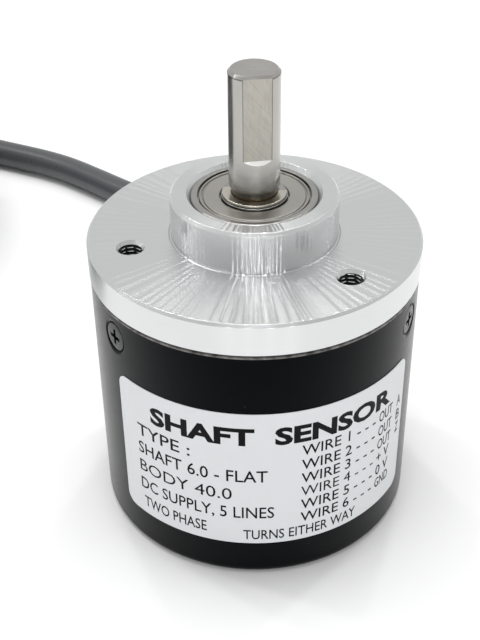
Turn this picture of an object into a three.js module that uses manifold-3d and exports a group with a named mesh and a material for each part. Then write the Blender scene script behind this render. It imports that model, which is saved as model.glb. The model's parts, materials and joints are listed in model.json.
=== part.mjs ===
// A 40 mm incremental rotary encoder with a 6 mm shaft and a 2 m cable, in millimetres, +Z up.
// The origin is the centre of the rear face, the label faces -Y and the cable leaves towards +Y.
import * as THREE from 'three';
import { mergeVertices } from 'three/addons/utils/BufferGeometryUtils.js';
import Module from 'manifold-3d';

const wasm = await Module();
wasm.setup();

// Driving dimensions
const roundSteps = 32;
const smallSteps = 20;
const faceGap = 0.05;

const flangeRadius = 20;
const flangeBase = 33.7;
const flangeFace = 37.7;
const flangeChamfer = 0.3;
const bossRadius = 10;
const bossTop = 42.9;
const bossChamfer = 0.35;
const spigotRadius = 18.8;
const spigotBase = 28.3;
const hubRadius = 9.2;
const hubBase = 22;

const mountHoleCircle = 15;
const mountHoleAngles = [-170, -50, 70];
const mountHoleRadius = 1.25;
const mountHoleMouth = 1.65;
const mountHoleDepth = 6.5;

const coverRadius = 19.9;
const coverWall = 0.8;
const coverFloor = 1.2;
const coverTop = 33.4;
const coverEdge = 1.1;

const sideScrewAngles = [-150, -30, 90];
const sideScrewHeight = 30.25;
const sideScrewHead = 1.75;
const sideScrewShank = 0.95;

const labelBase = 5.4;
const labelTop = 25.6;
const labelHalfAngle = 58.5;
const labelInner = 19.93;
const labelOuter = 20;

const shaftRadius = 3;
const shaftTip = 58.1;
const shaftEnd = 14.9;
const shaftChamfer = 0.35;
const neckRadius = 2.75;
const neckTop = 43.9;
const flatDistance = 2.49;
const flatLength = 10.1;
const flatAngle = -87;
const frontClip = { base: 42.65, top: 42.97, outer: 3.8, openAngle: 76.5, openFrom: 0.45, openWidth: 10 };
const rearClip = { base: 21.75, top: 22.5, outer: 4.2, openAngle: 220, openFrom: 2, openWidth: 1.8 };

const bearingRadius = 7.5;
const bearingWidth = 5;
const frontBearingBase = 37.6;
const rearBearingBase = 22.6;
const ballRadius = 1.19;
const ballCircle = 5.25;
const ballCount = 7;
const shieldBore = 4.12;
const fitClearance = 0.02;

const postCircle = 15.9;
const postRadius = 1.7;
const postAngles = [60, 180, 300];
const boardBase = 11.6;
const boardTop = 13.2;
const boardRadius = 17.3;

const discBase = 16.6;
const discTop = 17.2;
const discRadius = 13.4;
const trackY = -11.9;

const cableRadius = 2.5;
const cableHeight = 7;
const glandTip = 32;
const coilCentre = [-80.3, 67];
const coilInner = 17.3;
const coilOuter = 37.7;
const coilBase = 0.9;
const coilTop = 15.9;
const tieAngle = 20;

const rad = THREE.MathUtils.degToRad;

// Materials
function finish(color, roughness, metalness) {
  return new THREE.MeshStandardMaterial({ color, roughness, metalness });
}

const finishes = {
  turnedAluminium: finish(0xd4d6d8, 0.3, 1),
  blackPaint: finish(0x101113, 0.35, 0),
  blackScrew: finish(0x18191b, 0.4, 1),
  labelFilm: finish(0xd9dadb, 0.5, 0.2),
  groundSteel: finish(0xa9a6a1, 0.28, 1),
  bearingSteel: finish(0xb0b1b3, 0.22, 1),
  shieldSteel: finish(0x9b9c9e, 0.35, 1),
  springSteel: finish(0x8d8a86, 0.35, 1),
  cageBrass: finish(0xb3904e, 0.4, 1),
  machinedBrass: finish(0xbd9b57, 0.3, 1),
  discGlass: finish(0xc9d3d6, 0.1, 0),
  darkPlastic: finish(0x222326, 0.5, 0),
  clearEpoxy: finish(0xcfd6e6, 0.15, 0),
  chipResin: finish(0x1b1b1d, 0.6, 0),
  circuitBoard: finish(0x1f5a38, 0.5, 0),
  whiteNylon: finish(0xe4e2da, 0.5, 0),
  capacitorSleeve: finish(0x2a2c52, 0.4, 0),
  glandRubber: finish(0x1a1b1d, 0.7, 0),
  cableJacket: finish(0x2b2d30, 0.55, 0),
  tieNylon: finish(0x1d1e20, 0.5, 0),
};

const leadColours = {
  lead_black: 0x1c1c1e,
  lead_white: 0xe8e6e0,
  lead_orange: 0xd9772b,
  lead_brown: 0x6b3f24,
  lead_blue: 0x2a4d9c,
  lead_shield: 0xb6b4ae,
};

// Shape helpers
function turned(outline, steps = roundSteps) {
  const points = outline.map(([radius, height]) => new THREE.Vector2(radius, height));
  if (outline[0][0] > 0) {
    points.push(points[0].clone());
  }
  return new THREE.LatheGeometry(points, steps).rotateX(Math.PI / 2);
}

function ring(inner, outer, base, top, steps = roundSteps) {
  return turned([[inner, base], [outer, base], [outer, top], [inner, top]], steps);
}

function rod(radius, base, top, steps = smallSteps) {
  return turned([[0, base], [radius, base], [radius, top], [0, top]], steps);
}

function block(sizeX, sizeY, base, top) {
  return new THREE.BoxGeometry(sizeX, sizeY, top - base).translate(0, 0, (base + top) / 2);
}

function polar(geometry, radius, angle) {
  return geometry.translate(radius * Math.cos(rad(angle)), radius * Math.sin(rad(angle)), 0);
}

// Lays a shape made along +Z so that its axis runs outwards at an angle and a height.
function radial(geometry, angle, height) {
  return geometry.rotateY(Math.PI / 2).rotateZ(rad(angle)).translate(0, 0, height);
}

function toSolid(geometry) {
  const bare = geometry.clone();
  bare.deleteAttribute('normal');
  bare.deleteAttribute('uv');
  const welded = mergeVertices(bare, 1e-4);
  const corners = [];
  const index = welded.index.array;
  for (let i = 0; i < index.length; i += 3) {
    const [a, b, c] = [index[i], index[i + 1], index[i + 2]];
    if (a !== b && b !== c && c !== a) {
      corners.push(a, b, c);
    }
  }
  return new wasm.Manifold(new wasm.Mesh({
    numProp: 3,
    vertProperties: Float32Array.from(welded.attributes.position.array),
    triVerts: Uint32Array.from(corners),
  }));
}

function toGeometry(solid) {
  const { vertProperties, triVerts } = solid.getMesh();
  const geometry = new THREE.BufferGeometry();
  geometry.setAttribute('position', new THREE.BufferAttribute(vertProperties, 3));
  geometry.setIndex(new THREE.BufferAttribute(triVerts, 1));
  return geometry;
}

function combine(base, added, removed) {
  let solid = toSolid(base);
  for (const geometry of added) {
    solid = solid.add(toSolid(geometry));
  }
  for (const geometry of removed) {
    solid = solid.subtract(toSolid(geometry));
  }
  return toGeometry(solid);
}

const cut = (base, ...removed) => combine(base, [], removed);

const encoder = new THREE.Group();
const housing = new THREE.Group();
const rotor = new THREE.Group();
encoder.add(housing, rotor);

function place(group, name, geometry, material) {
  const mesh = new THREE.Mesh(geometry, material);
  mesh.name = name;
  group.add(mesh);
  return mesh;
}

// Mounting flange: face, pilot boss, bearing bore, spigot for the cover and three board posts
function mountingFlange() {
  const pocket = bearingRadius + fitClearance;
  const shoulder = 6.4;
  const frontSeat = frontBearingBase - faceGap;
  const rearSeat = 28.5;
  const boreMouth = 8;
  const body = turned([
    [pocket, hubBase],
    [hubRadius, hubBase],
    [hubRadius, spigotBase],
    [spigotRadius - 0.4, spigotBase],
    [spigotRadius, spigotBase + 0.4],
    [spigotRadius, flangeBase],
    [flangeRadius, flangeBase],
    [flangeRadius, flangeFace - flangeChamfer],
    [flangeRadius - flangeChamfer, flangeFace],
    [bossRadius, flangeFace],
    [bossRadius, bossTop - bossChamfer],
    [bossRadius - bossChamfer, bossTop],
    [boreMouth, bossTop],
    [pocket, bossTop - 0.45],
    [pocket, frontSeat],
    [shoulder, frontSeat],
    [shoulder, rearSeat],
    [pocket, rearSeat],
  ]);
  const posts = postAngles.map((angle) => (
    polar(rod(postRadius, boardTop + 0.1, spigotBase + 1, 16), postCircle, angle)
  ));
  const postHoles = postAngles.map((angle) => (
    polar(rod(1, boardTop - 1, boardTop + 7, 12), postCircle, angle)
  ));
  const mountHoles = mountHoleAngles.map((angle) => {
    const floor = flangeFace - mountHoleDepth;
    const mouth = flangeFace - (mountHoleMouth - mountHoleRadius);
    const above = 0.2;
    const hole = turned([
      [0, floor],
      [mountHoleRadius, floor + 0.7],
      [mountHoleRadius, mouth],
      [mountHoleMouth + above, flangeFace + above],
      [0, flangeFace + above],
    ], 16);
    return polar(hole, mountHoleCircle, angle);
  });
  const screwHoles = sideScrewAngles.map((angle) => (
    radial(rod(sideScrewShank + 0.2, 13.4, spigotRadius + 1, 12), angle, sideScrewHeight)
  ));
  return combine(body, posts, [...postHoles, ...mountHoles, ...screwHoles]);
}

// Cover: a drawn cup with a rounded rear edge, three countersunk screw holes and a cable hole
function cover() {
  const inner = coverRadius - coverWall;
  const outline = [[0, 0]];
  for (let step = 0; step <= 4; step += 1) {
    const turn = rad(-90 + 22.5 * step);
    outline.push([
      coverRadius - coverEdge + coverEdge * Math.cos(turn),
      coverEdge + coverEdge * Math.sin(turn),
    ]);
  }
  outline.push([coverRadius, coverTop], [inner, coverTop], [inner, coverFloor], [0, coverFloor]);
  const holes = sideScrewAngles.map((angle) => {
    const hole = turned([
      [0, inner - 1],
      [sideScrewHead - 0.25, inner - 1],
      [sideScrewHead - 0.25, inner],
      [sideScrewHead + 0.6, coverRadius + 0.25],
      [0, coverRadius + 0.25],
    ], 16);
    return radial(hole, angle, sideScrewHeight);
  });
  const cableHole = radial(rod(3.9, inner - 2, coverRadius + 1), 90, cableHeight);
  return cut(turned(outline), ...holes, cableHole);
}

// Side screw: countersunk head with a cross recess, made along +Z with its head outwards
function sideScrew(angle) {
  const headTop = coverRadius - 0.25;
  const tip = 14.2;
  const body = turned([
    [0, tip],
    [sideScrewShank - 0.3, tip],
    [sideScrewShank, tip + 0.4],
    [sideScrewShank, headTop - 0.85],
    [sideScrewHead, headTop - 0.1],
    [sideScrewHead - 0.1, headTop],
    [0, headTop],
  ], 16);
  const bar = () => block(2, 0.5, headTop - 0.5, headTop + 1);
  return radial(cut(body, bar(), bar().rotateZ(Math.PI / 2)), angle, sideScrewHeight);
}

// Label: a thin film that follows the cover's wall
function ratingLabel() {
  const sleeve = ring(labelInner, labelOuter, labelBase, labelTop);
  const edge = -labelOuter * Math.cos(rad(labelHalfAngle));
  const front = block(60, 20, labelBase - 1, labelTop + 1).translate(0, edge - 10, 0);
  return toGeometry(toSolid(sleeve).intersect(toSolid(front)));
}

place(housing, 'mounting_flange', mountingFlange(), finishes.turnedAluminium);
place(housing, 'cover', cover(), finishes.blackPaint);
sideScrewAngles.forEach((angle, i) => {
  place(housing, `cover_screw_${i + 1}`, sideScrew(angle), finishes.blackScrew);
});
place(housing, 'rating_label', ratingLabel(), finishes.labelFilm);

// Shaft: flat for a coupling, neck above the front retaining ring, groove for the rear one
function shaft() {
  const grooveRadius = neckRadius - faceGap;
  const neckSlope = 0.1;
  const body = turned([
    [0, shaftEnd],
    [shaftRadius - shaftChamfer, shaftEnd],
    [shaftRadius, shaftEnd + shaftChamfer],
    [shaftRadius, rearClip.base - faceGap],
    [grooveRadius, rearClip.base - faceGap],
    [grooveRadius, rearBearingBase - faceGap],
    [shaftRadius, rearBearingBase - faceGap],
    [shaftRadius, frontClip.base - faceGap],
    [grooveRadius, frontClip.base - faceGap],
    [grooveRadius, neckTop - neckSlope],
    [shaftRadius, neckTop + neckSlope],
    [shaftRadius, shaftTip - shaftChamfer],
    [shaftRadius - shaftChamfer, shaftTip],
    [0, shaftTip],
  ], smallSteps);
  const flatCut = block(4, 8, shaftTip - flatLength, shaftTip + 1)
    .translate(flatDistance + 2, 0, 0)
    .rotateZ(rad(flatAngle));
  return cut(body, flatCut);
}

// Open retaining ring that snaps into a groove of the shaft: the front one is a half ring, a crescent
function retainingRing({ base, top, outer, openAngle, openFrom, openWidth }) {
  const opening = block(outer, openWidth, base - 1, top + 1)
    .translate(openFrom + outer / 2, 0, 0)
    .rotateZ(rad(openAngle));
  return cut(ring(neckRadius, outer, base, top, smallSteps), opening);
}

place(rotor, 'shaft', shaft(), finishes.groundSteel);
place(rotor, 'front_retaining_ring', retainingRing(frontClip), finishes.springSteel);
place(rotor, 'rear_retaining_ring', retainingRing(rearClip), finishes.springSteel);

// Ball groove of a race, as points of a circle about the ball centre
function groove(middle, land, side) {
  const radius = ballRadius + 0.06;
  const reach = Math.acos((land - ballCircle) * side / radius);
  const points = [];
  for (let step = -2; step <= 2; step += 1) {
    const turn = reach * step / 2;
    points.push([ballCircle + side * radius * Math.cos(turn), middle + radius * Math.sin(turn)]);
  }
  return points;
}

function outerRace(base) {
  const land = 6.15;
  const seat = 6.5;
  const seatDepth = 0.65;
  const top = base + bearingWidth;
  return turned([
    [seat, base],
    [bearingRadius - 0.2, base],
    [bearingRadius, base + 0.2],
    [bearingRadius, top - 0.2],
    [bearingRadius - 0.2, top],
    [seat, top],
    [seat, top - seatDepth],
    [land, top - seatDepth],
    ...groove(base + bearingWidth / 2, land, 1).reverse(),
    [land, base + seatDepth],
    [seat, base + seatDepth],
  ]);
}

function innerRace(base) {
  const bore = shaftRadius + fitClearance;
  const land = 4.3;
  const rim = 3.9;
  const rimDepth = 0.62;
  const top = base + bearingWidth;
  return turned([
    [bore, base],
    [rim, base],
    [rim, base + rimDepth],
    [land, base + rimDepth],
    ...groove(base + bearingWidth / 2, land, -1),
    [land, top - rimDepth],
    [rim, top - rimDepth],
    [rim, top],
    [bore, top],
  ], smallSteps);
}

function shield(outside, inside) {
  const plate = Math.sign(outside - inside) * 0.14;
  const outline = [
    [shieldBore, inside],
    [5.95, inside],
    [6.1, inside + 1.6 * plate],
    [6.4, inside + 1.6 * plate],
    [6.4, outside],
    [6.2, outside],
    [5.9, inside + 2 * plate],
    [shieldBore, inside + 2 * plate],
  ];
  return turned(plate > 0 ? outline : outline.reverse(), 24);
}

function ballCage(middle) {
  const cageHalf = 1.5;
  const pockets = [];
  for (let i = 0; i < ballCount; i += 1) {
    const pocket = new THREE.SphereGeometry(ballRadius + 0.08, 8, 6).rotateX(Math.PI / 2);
    pockets.push(polar(pocket.translate(0, 0, middle), ballCircle, 360 * i / ballCount));
  }
  return cut(ring(4.8, 5.7, middle - cageHalf, middle + cageHalf, 21), ...pockets);
}

function ball(middle, i) {
  const geometry = new THREE.SphereGeometry(ballRadius, 8, 6).rotateX(Math.PI / 2);
  return polar(geometry.translate(0, 0, middle), ballCircle, 360 * i / ballCount);
}

function addBearing(label, base) {
  const rolling = new THREE.Group();
  const middle = base + bearingWidth / 2;
  const top = base + bearingWidth;
  encoder.add(rolling);
  place(housing, `${label}_outer_race`, outerRace(base), finishes.bearingSteel);
  place(rotor, `${label}_inner_race`, innerRace(base), finishes.bearingSteel);
  place(housing, `${label}_upper_shield`, shield(top - 0.08, top - 0.5), finishes.shieldSteel);
  place(housing, `${label}_lower_shield`, shield(base + 0.08, base + 0.5), finishes.shieldSteel);
  place(rolling, `${label}_ball_cage`, ballCage(middle), finishes.cageBrass);
  for (let i = 0; i < ballCount; i += 1) {
    place(rolling, `${label}_ball_${i + 1}`, ball(middle, i), finishes.bearingSteel);
  }
}

addBearing('front', frontBearingBase);
addBearing('rear', rearBearingBase);

// Wave washer that preloads the rear bearing's outer race
function waveWasher() {
  const waveHeight = 0.18;
  const waves = 3;
  const base = rearBearingBase + bearingWidth + 0.3;
  const geometry = ring(6.5, 7.3, base, base + 0.25);
  const position = geometry.attributes.position;
  for (let i = 0; i < position.count; i += 1) {
    const angle = Math.atan2(position.getY(i), position.getX(i));
    position.setZ(i, position.getZ(i) + waveHeight * Math.cos(waves * angle));
  }
  return geometry;
}

place(housing, 'preload_wave_washer', waveWasher(), finishes.springSteel);

// Code disc and the hub that carries it on the shaft's inner end
const hubBottom = 15.2;
const hubTop = 21;
const hubSleeve = 4.6;
const hubCollar = 6.8;
const hubCollarTop = 18.6;
const discBore = hubSleeve + 0.15;
const clampBase = 15.5;
const clampRadius = 6.6;
const discHub = turned([
  [shaftRadius + fitClearance, hubBottom],
  [hubSleeve, hubBottom],
  [hubSleeve, discTop + faceGap],
  [hubCollar, discTop + faceGap],
  [hubCollar, hubCollarTop],
  [hubSleeve, hubCollarTop],
  [hubSleeve, hubTop],
  [shaftRadius + fitClearance, hubTop],
], smallSteps);
const clampRing = ring(discBore, clampRadius, clampBase, discBase - faceGap, 28);
place(rotor, 'disc_hub', discHub, finishes.machinedBrass);
place(rotor, 'code_disc', ring(discBore, discRadius, discBase, discTop), finishes.discGlass);
place(rotor, 'disc_clamp_ring', clampRing, finishes.machinedBrass);

// Light path: emitter above the disc, scanning reticle and sensor below it
const holderBase = 18.6;
const emitterRadius = 1.5;

function emitterHolder() {
  const boreTop = 25;
  const body = block(6.8, 5.4, holderBase, spigotBase - 0.1).translate(0, trackY - 0.5, 0);
  const bore = rod(emitterRadius + 0.2, holderBase - 1, boreTop).translate(0, trackY, 0);
  return cut(body, bore);
}

function emitter() {
  const lensTip = holderBase + 0.3;
  const emitterTop = 23.6;
  const outline = [[0, lensTip]];
  for (let step = 1; step <= 4; step += 1) {
    const turn = rad(22.5 * step);
    outline.push([emitterRadius * Math.sin(turn), lensTip + emitterRadius * (1 - Math.cos(turn))]);
  }
  outline.push([emitterRadius, emitterTop], [0, emitterTop]);
  return turned(outline, 16).translate(0, trackY, 0);
}

const sensorTop = boardTop + 2;
place(housing, 'emitter_holder', emitterHolder(), finishes.darkPlastic);
place(housing, 'infrared_emitter', emitter(), finishes.clearEpoxy);
const sensor = block(8, 5.6, boardTop + faceGap, sensorTop).translate(0, trackY, 0);
place(housing, 'photo_sensor', sensor, finishes.chipResin);
const reticle = block(6, 4, sensorTop + faceGap, sensorTop + 0.6).translate(0, trackY, 0);
place(housing, 'scanning_reticle', reticle, finishes.discGlass);

// Circuit board on the posts, its screws and the parts on its rear side
const boardUnder = boardBase - faceGap;
const boardHoles = postAngles.map((angle) => (
  polar(rod(1.2, boardBase - 1, boardTop + 1, 12), postCircle, angle)
));
const board = cut(rod(boardRadius, boardBase, boardTop, roundSteps), ...boardHoles);
place(housing, 'circuit_board', board, finishes.circuitBoard);

postAngles.forEach((angle, i) => {
  const headRadius = 1.7;
  const headDepth = 1.4;
  const shank = 0.75;
  const shankTop = 18.5;
  const screw = turned([
    [0, boardUnder - headDepth],
    [headRadius - 0.4, boardUnder - headDepth],
    [headRadius, boardUnder - headDepth + 0.4],
    [headRadius, boardUnder],
    [shank, boardUnder],
    [shank, shankTop],
    [0, shankTop],
  ], 12);
  const slot = block(3 * headRadius, 0.5, boardUnder - 2, boardUnder - 0.8);
  place(housing, `board_screw_${i + 1}`, polar(cut(screw, slot), postCircle, angle), finishes.blackScrew);
});

const driverChip = block(6, 5, boardUnder - 1.7, boardUnder).translate(-8, -5, 0);
place(housing, 'line_driver_chip', driverChip, finishes.chipResin);
const canRadius = 2.5;
const canLength = 5.4;
const capacitor = turned([
  [0, boardUnder - canLength],
  [canRadius - 0.4, boardUnder - canLength],
  [canRadius, boardUnder - canLength + 0.4],
  [canRadius, boardUnder - 0.5],
  [canRadius - 0.2, boardUnder],
  [0, boardUnder],
], 16).translate(9, -5, 0);
place(housing, 'smoothing_capacitor', capacitor, finishes.capacitorSleeve);
const plugSocket = cut(
  block(9, 5.6, boardUnder - 6, boardUnder).translate(0, 2, 0),
  block(7.4, 4, boardUnder - 4.8, boardUnder - 2.4).translate(0, 4.6, 0),
);
place(housing, 'wire_connector', plugSocket, finishes.whiteNylon);

// Cable gland, crimp band and the bundle of cores inside the cover
function onCableAxis(geometry) {
  return geometry.rotateX(-Math.PI / 2).translate(0, 0, cableHeight);
}

function cableGland() {
  const bore = cableRadius + 0.3;
  const outline = [
    [bore, 16.4],
    [4.3, 16.4],
    [4.3, 17.9],
    [3.6, 17.9],
    [3.6, 20.3],
    [4.8, 20.3],
    [4.8, 21.3],
  ];
  const ribs = 3;
  for (let i = 0; i < ribs; i += 1) {
    const start = 21.9 + 2.9 * i;
    const outer = 4.3 - 0.25 * i;
    outline.push([outer, start], [outer - 0.1, start + 1.7]);
    outline.push([outer - 0.6, start + 1.9], [outer - 0.6, start + 2.7]);
  }
  outline.push([3.5, 30.8], [3.3, glandTip], [bore, glandTip]);
  return onCableAxis(turned(outline, 16));
}

place(housing, 'cable_gland', cableGland(), finishes.glandRubber);
const crimpBand = onCableAxis(ring(cableRadius + 0.3, 3.4, 12.4, 15.4, 16));
place(housing, 'crimp_band', crimpBand, finishes.springSteel);
const coreBundle = onCableAxis(rod(1.1, 5.1, 10.7, 12));
place(housing, 'core_bundle', coreBundle, finishes.whiteNylon);

// Cable from the cover to the coil: straight out, down to the surface and round to the left
const lying = cableRadius + 0.1;
const cableRoute = [
  [0, 11, cableHeight],
  [0, 22, cableHeight],
  [0, 33, cableHeight],
  [-0.6, 42, 6],
  [-2.7, 52, 4],
  [-6.9, 61.8, 2.9],
  [-12.6, 69.6, lying],
  [-19.3, 76.6, lying],
  [-29.5, 86.4, lying],
  [-41.6, 94, lying],
  [-51, 99.5, lying],
  [-60.3, 103.4, lying],
  [-69.8, 106.2, lying + 0.4],
];

function tube(points, radius, sides, steps) {
  const corners = [];
  for (let i = 0; i < sides; i += 1) {
    const turn = 2 * Math.PI * i / sides;
    corners.push(new THREE.Vector2(radius * Math.cos(turn), radius * Math.sin(turn)));
  }
  const outline = new THREE.Shape(corners);
  const stops = points.map((point) => new THREE.Vector3(...point));
  const path = new THREE.CatmullRomCurve3(stops, false, 'centripetal');
  return new THREE.ExtrudeGeometry(outline, { steps, bevelEnabled: false, extrudePath: path });
}

function cableCoil() {
  const edge = 1.6;
  const outline = turned([
    [coilInner, coilBase + edge],
    [coilInner + edge, coilBase],
    [coilOuter - edge, coilBase],
    [coilOuter, coilBase + edge],
    [coilOuter, coilTop - edge],
    [coilOuter - edge, coilTop],
    [coilInner + edge, coilTop],
    [coilInner, coilTop - edge],
  ], 32);
  return outline.translate(coilCentre[0], coilCentre[1], 0);
}

// Cable tie: a band round the coil's section with its lock on top
function coilTie(angle) {
  const band = 0.6;
  const gap = 0.3;
  const width = 2.6;
  const [left, right] = [coilInner - gap, coilOuter + gap];
  const [base, top] = [coilBase - gap, coilTop + gap];
  const frame = new THREE.Shape([
    new THREE.Vector2(left - band, base - band),
    new THREE.Vector2(right + band, base - band),
    new THREE.Vector2(right + band, top + band),
    new THREE.Vector2(left - band, top + band),
  ]);
  frame.holes.push(new THREE.Path([
    new THREE.Vector2(left, base),
    new THREE.Vector2(left, top),
    new THREE.Vector2(right, top),
    new THREE.Vector2(right, base),
  ]));
  const loop = new THREE.ExtrudeGeometry(frame, { depth: width, bevelEnabled: false });
  loop.translate(0, 0, -width / 2).rotateX(Math.PI / 2);
  const lock = block(5.2, 4.8, top + 0.1, top + 3.4).translate((left + right) / 2, 0, 0);
  const tie = combine(loop, [lock], []);
  return tie.rotateZ(rad(angle)).translate(coilCentre[0], coilCentre[1], 0);
}

place(housing, 'cable', tube(cableRoute, cableRadius, 10, 44), finishes.cableJacket);
place(housing, 'cable_coil', cableCoil(), finishes.cableJacket);
place(housing, 'coil_tie', coilTie(tieAngle), finishes.tieNylon);

// Stripped leads inside the coil: they leave the jacket's end side by side and fan out on the surface
const leadRadius = 0.65;
const leadStart = 250;
const leadSweep = 105;
const leadCircle = 12.9;
const leadSpacing = 1.4;
Object.entries(leadColours).forEach(([name, colour], i) => {
  const offset = i - 2.5;
  const points = [];
  for (let step = 0; step <= 6; step += 1) {
    const share = step / 6;
    const angle = rad(leadStart + leadSweep * share);
    const radius = leadCircle - leadSpacing * offset * (0.95 + 0.25 * share) - 0.6 * share;
    points.push([
      coilCentre[0] + radius * Math.cos(angle),
      coilCentre[1] + radius * Math.sin(angle),
      leadRadius + 1.2 * (1 - share) ** 3,
    ]);
  }
  place(housing, name, tube(points, leadRadius, 8, 9), finish(colour, 0.5, 0));
});

export default encoder;
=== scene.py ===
import json
import math
from contextlib import contextmanager

import bmesh
import bpy
from mathutils import Matrix, Vector


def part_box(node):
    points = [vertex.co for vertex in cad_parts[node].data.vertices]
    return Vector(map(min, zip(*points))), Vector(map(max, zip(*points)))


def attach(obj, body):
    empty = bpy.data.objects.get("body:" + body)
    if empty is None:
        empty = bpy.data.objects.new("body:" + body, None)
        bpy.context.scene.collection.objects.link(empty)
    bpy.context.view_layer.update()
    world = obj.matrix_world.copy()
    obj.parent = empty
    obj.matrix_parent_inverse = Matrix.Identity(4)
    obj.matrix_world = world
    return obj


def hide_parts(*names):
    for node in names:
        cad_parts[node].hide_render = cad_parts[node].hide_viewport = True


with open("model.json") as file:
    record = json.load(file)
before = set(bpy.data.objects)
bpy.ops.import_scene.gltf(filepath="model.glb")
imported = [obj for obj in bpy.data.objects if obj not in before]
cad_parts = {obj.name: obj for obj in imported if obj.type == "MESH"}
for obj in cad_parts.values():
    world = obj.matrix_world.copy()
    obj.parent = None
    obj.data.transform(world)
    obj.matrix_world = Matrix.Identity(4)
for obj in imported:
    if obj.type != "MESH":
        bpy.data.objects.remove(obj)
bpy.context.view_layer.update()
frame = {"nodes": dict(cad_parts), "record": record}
mm = 0.001
print("frame loaded:", len(frame["nodes"]), "nodes")


# small helpers for node trees, shared by the geometry trees and the materials
def addNode(tree, kind, plugs=None, **settings):
    made = tree.nodes.new(kind)
    for name, value in settings.items():
        setattr(made, name, value)
    for name, value in (plugs or {}).items():
        socket = made.inputs[name]
        if isinstance(value, bpy.types.NodeSocket):
            tree.links.new(value, socket)
        else:
            socket.default_value = value
    return made


def maths(tree, operation, *values):
    return addNode(tree, "ShaderNodeMath", dict(enumerate(values)), operation=operation).outputs[0]


def remap(tree, value, low, high, toLow, toHigh):
    plugs = {"Value": value, "From Min": low, "From Max": high, "To Min": toLow, "To Max": toHigh}
    return addNode(tree, "ShaderNodeMapRange", plugs).outputs[0]


# camera: looks down at the front of the cover, a little from the left
cameraView = {
    "aim": (-1.87 * mm, -0.01 * mm, 24.57 * mm),
    "azimuth": -4.7,
    "elevation": 35.19,
    "distance": 144.53 * mm,
    "roll": -0.67,
    "lens": 64.62,
}


def addCamera(view):
    turn = math.radians(view["azimuth"])
    lift = math.radians(view["elevation"])
    roll = math.radians(view["roll"])
    back = Vector((math.sin(turn) * math.cos(lift), -math.cos(turn) * math.cos(lift), math.sin(lift)))
    right = (-back).cross(Vector((0, 0, 1))).normalized()
    up = right.cross(-back)
    sideways = right * math.cos(roll) + up * math.sin(roll)
    upwards = up * math.cos(roll) - right * math.sin(roll)
    data = bpy.data.cameras.new("benchCamera")
    data.lens = view["lens"]
    data.clip_start = 5 * mm
    camera = bpy.data.objects.new("benchCamera", data)
    pose = Matrix((sideways, upwards, back)).transposed().to_4x4()
    pose.translation = Vector(view["aim"]) + back * view["distance"]
    camera.matrix_world = pose
    bpy.context.scene.collection.objects.link(camera)
    bpy.context.scene.camera = camera


addCamera(cameraView)

# studio: white surroundings that fall off towards the front, and rows of tube lamps
studio = {
    "world": {"front": 0.58, "back": 0.84, "strength": 0.93},
    # rows of tubes: name, tubes, middle of the row, spacing across, height, width, watts each
    "lamps": [
        ("topTube", 5, (-0.045, 0.12, 0.55), 0.1, 0.5, 0.014, 0.42),
        ("frontTube", 4, (-0.03, -0.62, 0.2), 0.14, 0.25, 0.02, 0.24),
    ],
    "lampAim": (0, 0, 0.03),
    "floorSize": 5,
    "floorColour": (0.94, 0.94, 0.94, 1),
}


def addLamp(name, place, aim, width, height, watts):
    data = bpy.data.lights.new(name, "AREA")
    data.shape = "RECTANGLE"
    data.size = width
    data.size_y = height
    data.energy = watts
    lamp = bpy.data.objects.new(name, data)
    lamp.location = place
    lamp.rotation_euler = (Vector(aim) - Vector(place)).to_track_quat("-Z", "Y").to_euler()
    bpy.context.scene.collection.objects.link(lamp)


def addStudio(settings):
    world = bpy.data.worlds.new("studioWorld")
    bpy.context.scene.world = world
    world.use_nodes = True
    tree = world.node_tree
    direction = addNode(tree, "ShaderNodeTexCoord").outputs["Generated"]
    depth = addNode(tree, "ShaderNodeSeparateXYZ", {0: direction}).outputs["Y"]
    tone = remap(tree, depth, -0.9, 0.3, settings["world"]["front"], settings["world"]["back"])
    background = tree.nodes["Background"]
    tree.links.new(tone, background.inputs["Color"])
    background.inputs["Strength"].default_value = settings["world"]["strength"]
    for name, count, middle, spacing, height, width, watts in settings["lamps"]:
        for number in range(count):
            place = Vector(middle) + Vector(((number - (count - 1) / 2) * spacing, 0, 0))
            addLamp(f"{name}{number + 1}", place, settings["lampAim"], width, height, watts)
    half = settings["floorSize"] / 2
    mesh = bpy.data.meshes.new("benchTop")
    corners = [(-half, -half, 0), (half, -half, 0), (half, half, 0), (-half, half, 0)]
    mesh.from_pydata(corners, [], [(0, 1, 2, 3)])
    floor = bpy.data.objects.new("benchTop", mesh)
    bpy.context.scene.collection.objects.link(floor)
    surface = bpy.data.materials.new("palePaper")
    surface.use_nodes = True
    shader = surface.node_tree.nodes["Principled BSDF"]
    shader.inputs["Base Color"].default_value = settings["floorColour"]
    shader.inputs["Roughness"].default_value = 0.8
    shader.inputs["Specular IOR Level"].default_value = 0.1
    mesh.materials.append(surface)
    bpy.context.scene.view_settings.view_transform = "Standard"


addStudio(studio)
print("camera, lamps and bench top made")


# materials
def newSurface(name, colour, roughness, metallic=0.0, **sockets):
    surface = bpy.data.materials.new(name)
    surface.use_nodes = True
    tree = surface.node_tree
    shader = tree.nodes["Principled BSDF"]
    values = {"Base_Color": (*colour, 1), "Roughness": roughness, "Metallic": metallic, **sockets}
    for socket, value in values.items():
        shader.inputs[socket.replace("_", " ")].default_value = value
    point = addNode(tree, "ShaderNodeTexCoord").outputs["Object"]
    return surface, tree, shader, point


def feed(tree, shader, **sockets):
    for socket, value in sockets.items():
        tree.links.new(value, shader.inputs[socket.replace("_", " ")])


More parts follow.
